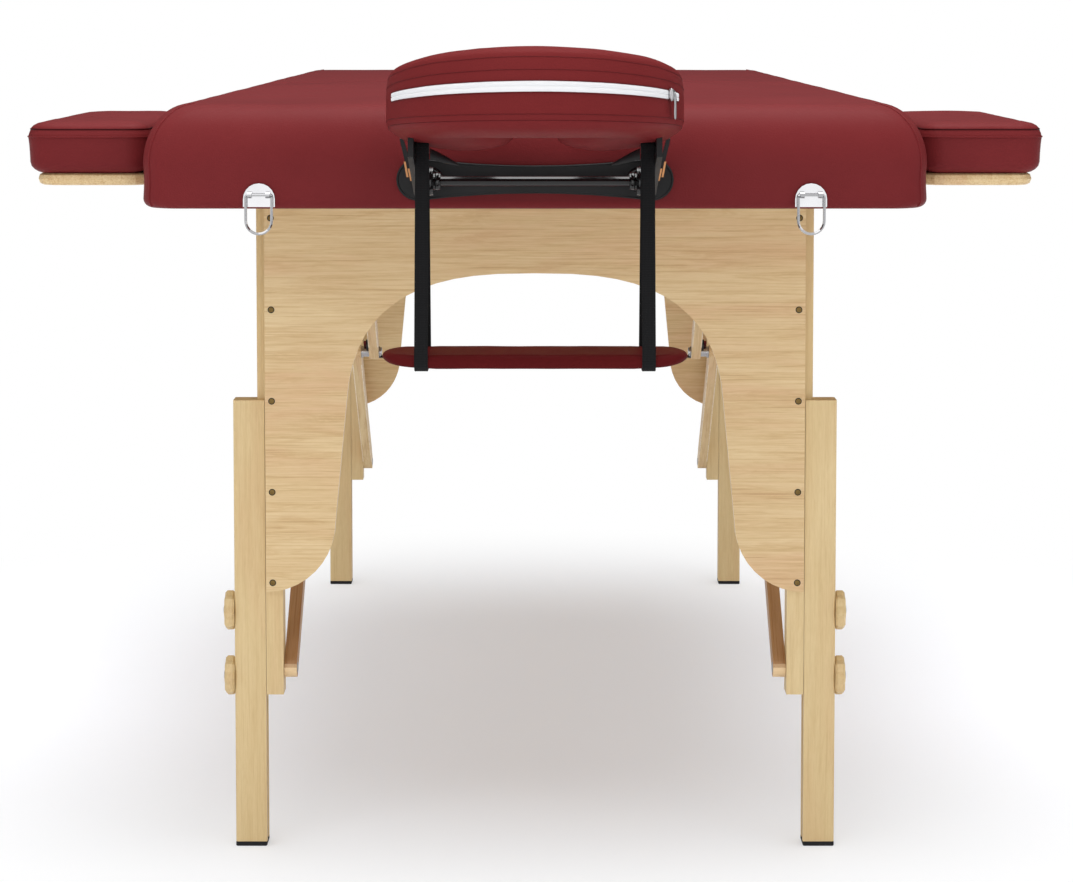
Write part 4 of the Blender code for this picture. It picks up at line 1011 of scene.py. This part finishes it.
def make_armrest(side, label):
    centre = (side * (ARMREST_INSIDE + ARMREST_WIDTH / 2), ARMREST_MIDDLE)
    body = f"armrest_{label}"
    rings = []
    for inset, rise in ARMREST_ROWS:
        ring = block_ring(centre, ARMREST_WIDTH / 2 - inset, ARMREST_LENGTH / 2 - inset,
                          max(ARMREST_CORNER - inset, ARMREST_CORNER / 5), ARMREST_LOW + rise)
        if rise > ARMREST_CREST:
            ring = [(x, y, z + soften((x, y, side), 26, 0.0006)) for x, y, z in ring]
        rings.append(ring)
    item = piece(f"armrest_padding_{label}", loft(rings), "vinyl", body, "head", 80)
    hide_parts(f"armrest_pad_{label}")
    welt = tube(rings[PIPING_ROW], PIPING_RADIUS, True, 6)
    piece(f"armrest_welt_{label}", welt, "vinyl", body, "head", 60)
    seam = tube(rings[FOLD_ROW], FOLD_RADIUS, True, 6)
    # The fold line is near-black: painted shadow under the puffed top
    piece(f"armrest_seam_{label}", seam, "vinyl_fold", body, "head", 60)


# Fasteners

def make_screws(half):
    """Countersunk screws of the end panel."""
    cups, heads = [], []
    for side in (1, -1):
        for step in range(SCREW_COUNT):
            spot = (side * SCREW_X, PANEL_FRONT, SCREW_TOP - SCREW_PITCH * step)
            cups.append(turned([(-0.0008, 0.0035), (0.0001, 0.0035), (0.00022, 0.0033), (0.00012, 0.0028)],
                               "y", spot, 20))
            heads.append(turned([(0.0, 0.0027), (0.00035, 0.0026), (0.0006, 0.0019), (0.0007, 0.0010),
                                 (0.0003, 0.0008)], "y", spot, 16))
    # The cups round the heads are dark with painted shade of the countersinks
    piece(f"{half}_screw_cups", together(*cups), "screw_dark", f"{half}_leg_frame", half)
    piece(f"{half}_screw_heads", together(*heads), "bronze", f"{half}_leg_frame", half)


def make_bolts(half):
    """Bolt heads of the braces, the knee's sleeve, caps and small blocks, and the knobs' screw caps."""
    upper_joint = "head_upper_brace_left_fold" if half == "head" else "foot_upper_braces_fold"
    low = Vector(JOINT_PLACES[f"{half}_lower_brace_left_fold"])
    high = Vector(JOINT_PLACES[upper_joint])
    knee = low.lerp(high, KNEE_SHARE)
    along = (high - low).normalized()
    above = Vector((0, -along.z, along.y))
    above = above if above.z > 0 else -above
    inside, outside, inner = UPPER_BRACE_INSIDE, UPPER_BRACE_OUTSIDE, LOWER_BRACE_INSIDE
    cap_end = inside - KNEE_DOME
    gap_end = inner - 0.0008
    low_dome = [(inner + 0.0002, 0.0056), (inner - 0.0003, 0.0056), (inner - 0.0007, 0.0046),
                (inner - 0.0009, 0.0026)]
    high_dome = [(inside + 0.0002, 0.0068), (inside - 0.0006, 0.0068), (inside - 0.0018, 0.0056),
                 (inside - 0.0024, 0.0030)]
    sleeve = [(outside - 0.0002, 0.0068), (inner - 0.0032, 0.0068), (inner - 0.0032, 0.0085),
              (inner - 0.0005, 0.0085)]
    cap = [(inside + 0.0002, 0.0082), (inside - 0.0008, 0.0082), (inside - 0.0014, 0.0068),
           (cap_end - 0.0004, 0.0066), (cap_end - 0.0012, 0.0052), (cap_end - 0.0015, 0.0030)]
    knob_cap = [(KNOB_FACE - 0.0002, 0.0062), (KNOB_FACE + 0.0007, 0.0062), (KNOB_FACE + 0.0016, 0.0048),
                (KNOB_FACE + 0.0020, 0.0026)]
    for side, label in ((1, "right"), (-1, "left")):
        lower_body = f"{half}_lower_brace_{label}"
        upper_body = f"head_upper_brace_{label}" if half == "head" else "foot_upper_braces"

        def stud(profile, spot):
            return turned([(side * reach, radius) for reach, radius in profile], "x", (0, spot.y, spot.z), 18)

        def block(near, far, first, last, bottom, top):
            rings = []
            for x in (near, far):
                across = Vector((side * x, 0, 0))
                rings.append([tuple(knee + along * a + above * b + across - Vector((knee.x, 0, 0)))
                              for a, b in ((first, bottom), (last, bottom), (last, top), (first, top))])
            return loft(rings)

        piece(f"{half}_low_bolt_{label}", stud(low_dome, low), "steel", lower_body)
        piece(f"{half}_high_bolt_{label}", stud(high_dome, high), "steel", upper_body)
        knee_sleeve = together(stud(sleeve, knee), stud(cap, knee))
        piece(f"{half}_knee_sleeve_{label}", knee_sleeve, "chrome", upper_body)
        if half == "foot":
            for body, name, start, end, walls in (
                    (lower_body, "lower", low, knee, (inner, LOWER_BRACE_OUTSIDE)),
                    (upper_body, "upper", knee, high, (inside, outside))):
                edges = []
                for x in (walls[0] + 0.0004, walls[1] - 0.0004):
                    for depth in (BRACE_DEPTH / 2, -BRACE_DEPTH / 2):
                        ends = [Vector((side * x, spot.y, spot.z)) + above * depth for spot in (start, end)]
                        path = [ends[0].lerp(ends[1], 0.06 + 0.11 * step) for step in range(9)]
                        edges.append(tube(path, BRACE_EDGE_RADIUS, sides=6))
                strips = together(*edges)
                piece(f"foot_{name}_brace_edges_{label}", strips, "wood_bare", body, smooth=60)
        buffer = block(outside, gap_end - 0.0030, 0.001, 0.014, 0.0064, 0.0098)
        piece(f"{half}_knee_buffer_{label}", buffer, "buffer", upper_body)
        latch = together(block(outside, outside + 0.0042, 0.004, 0.024, -0.002, 0.0062),
                         block(outside, gap_end, -0.006, -0.001, 0.0062, 0.0088))
        piece(f"{half}_knee_latch_{label}", latch, "black_plastic", upper_body)
        for level in ("low", "high"):
            name = f"{half}_knob_{level}_{label}"
            spot = Vector(JOINT_PLACES[f"{name}_turn"])
            piece(f"{name}_cap", stud(knob_cap, spot), "steel", name)


def build():
    for half in ("head", "foot"):
        make_pad(half)
        pad_seams(half)
        make_screws(half)
        make_bolts(half)
    make_face_cushion()
    make_cradle_trim()
    make_shelf()
    for side, label in SIDES:
        make_armrest(side, label)


def dress_nodes():
    """Finish of the solids that stay."""
    for name, item in frame["nodes"].items():
        look = next((look for pattern, look in NODE_LOOKS if re.search(pattern, name)), None)
        if look:
            item.data.materials.clear()
            item.data.materials.append(LOOKS[look])


# Stage

def floor_material():
    """Pale floor with the table's shadow, which turns white further out for camera and glossy rays."""
    material = bpy.data.materials.new("floor")
    material.use_nodes = True
    tree = material.node_tree
    shader = tree.nodes["Principled BSDF"]
    for name, value in (("Base Color", FLOOR_COLOUR), ("Roughness", 0.9), ("Specular IOR Level", 0.1),
                        ("Emission Color", WHITE)):
        shader.inputs[name].default_value = value
    rays = add_node(tree, "LightPath").outputs
    seen = add_math(tree, "MAXIMUM", rays["Is Camera Ray"], rays["Is Glossy Ray"])
    tree.links.new(add_math(tree, "MULTIPLY", seen, FLOOR_LIFT), shader.inputs["Emission Strength"])
    spot = add_node(tree, "TexCoord").outputs["Object"]
    reach = add_node(tree, "VectorMath", {0: spot, 1: (0, ROOT_Y, 0)}, operation="DISTANCE").outputs["Value"]
    sockets = {"Value": reach, "From Min": FADE_START, "From Max": FADE_END}
    fade = add_node(tree, "MapRange", sockets, interpolation_type="SMOOTHSTEP").outputs["Result"]
    share = add_math(tree, "MULTIPLY", fade, seen)
    white = add_node(tree, "Emission", {"Color": WHITE}).outputs[0]
    blend = add_node(tree, "MixShader", {0: share, 1: shader.outputs[0], 2: white})
    tree.links.new(blend.outputs[0], tree.nodes["Material Output"].inputs["Surface"])
    return material


def studio_world():
    """Soft dome for the light, white for the camera, and a white room with a dark rear for glossy rays."""
    world = bpy.data.worlds.new("studio")
    world.use_nodes = True
    tree = world.node_tree

    def spread(source, first, last, low, high):
        sockets = {"Value": source, "From Min": first, "From Max": last, "To Min": low, "To Max": high}
        return add_node(tree, "MapRange", sockets).outputs["Result"]

    back = tree.nodes["Background"]
    back.inputs["Color"].default_value = WHITE
    rays = add_node(tree, "LightPath").outputs
    look = add_node(tree, "TexCoord").outputs["Generated"]
    toward = add_node(tree, "SeparateXYZ", {"Vector": look}).outputs
    dome = spread(toward["Z"], 0.0, 1.0, DOME_SIDE, DOME_TOP)
    rear = spread(toward["Y"], -0.2, 0.35, 1.0, REAR_GLOSS)
    ceiling = spread(toward["Z"], 0.35, 0.85, 0.0, 1.0)
    room = add_math(tree, "MAXIMUM", rear, ceiling)
    mirrored = spread(rays["Is Glossy Ray"], 0.0, 1.0, dome, room)
    tree.links.new(spread(rays["Is Camera Ray"], 0.0, 1.0, mirrored, 1.0), back.inputs["Strength"])
    return world


def stage():
    scene = bpy.context.scene
    scene.view_settings.view_transform = "Standard"
    mesh = bpy.data.meshes.new("floor")
    corners = [(a * FLOOR_SIZE, b * FLOOR_SIZE, 0) for a, b in ((-1, -1), (1, -1), (1, 1), (-1, 1))]
    mesh.from_pydata(corners, [], [(0, 1, 2, 3)])
    mesh.materials.append(floor_material())
    floor = add_object("floor", mesh)
    scene.world = studio_world()

    for name, (spot, aim, size, power) in LAMPS.items():
        light = bpy.data.lights.new(name, "AREA")
        light.shape = "DISK"
        light.size = size
        light.energy = power
        item = add_object(name, light)
        item.location = spot
        item.rotation_euler = (Vector(aim) - Vector(spot)).to_track_quat("-Z", "Y").to_euler()

    camera = bpy.data.cameras.new("camera")
    camera.sensor_fit = "HORIZONTAL"
    camera.sensor_width = SENSOR_MM
    camera.lens = LENS_MM
    camera.shift_x, camera.shift_y = CAMERA_SHIFT
    camera.clip_end = 60
    item = add_object("camera", camera)
    item.location = (0, ROOT_Y - CAMERA_BACK, CAMERA_HEIGHT)
    item.rotation_euler = (pi / 2 - CAMERA_PITCH, 0, 0)
    scene.camera = item


dress_nodes()
build()
stage()
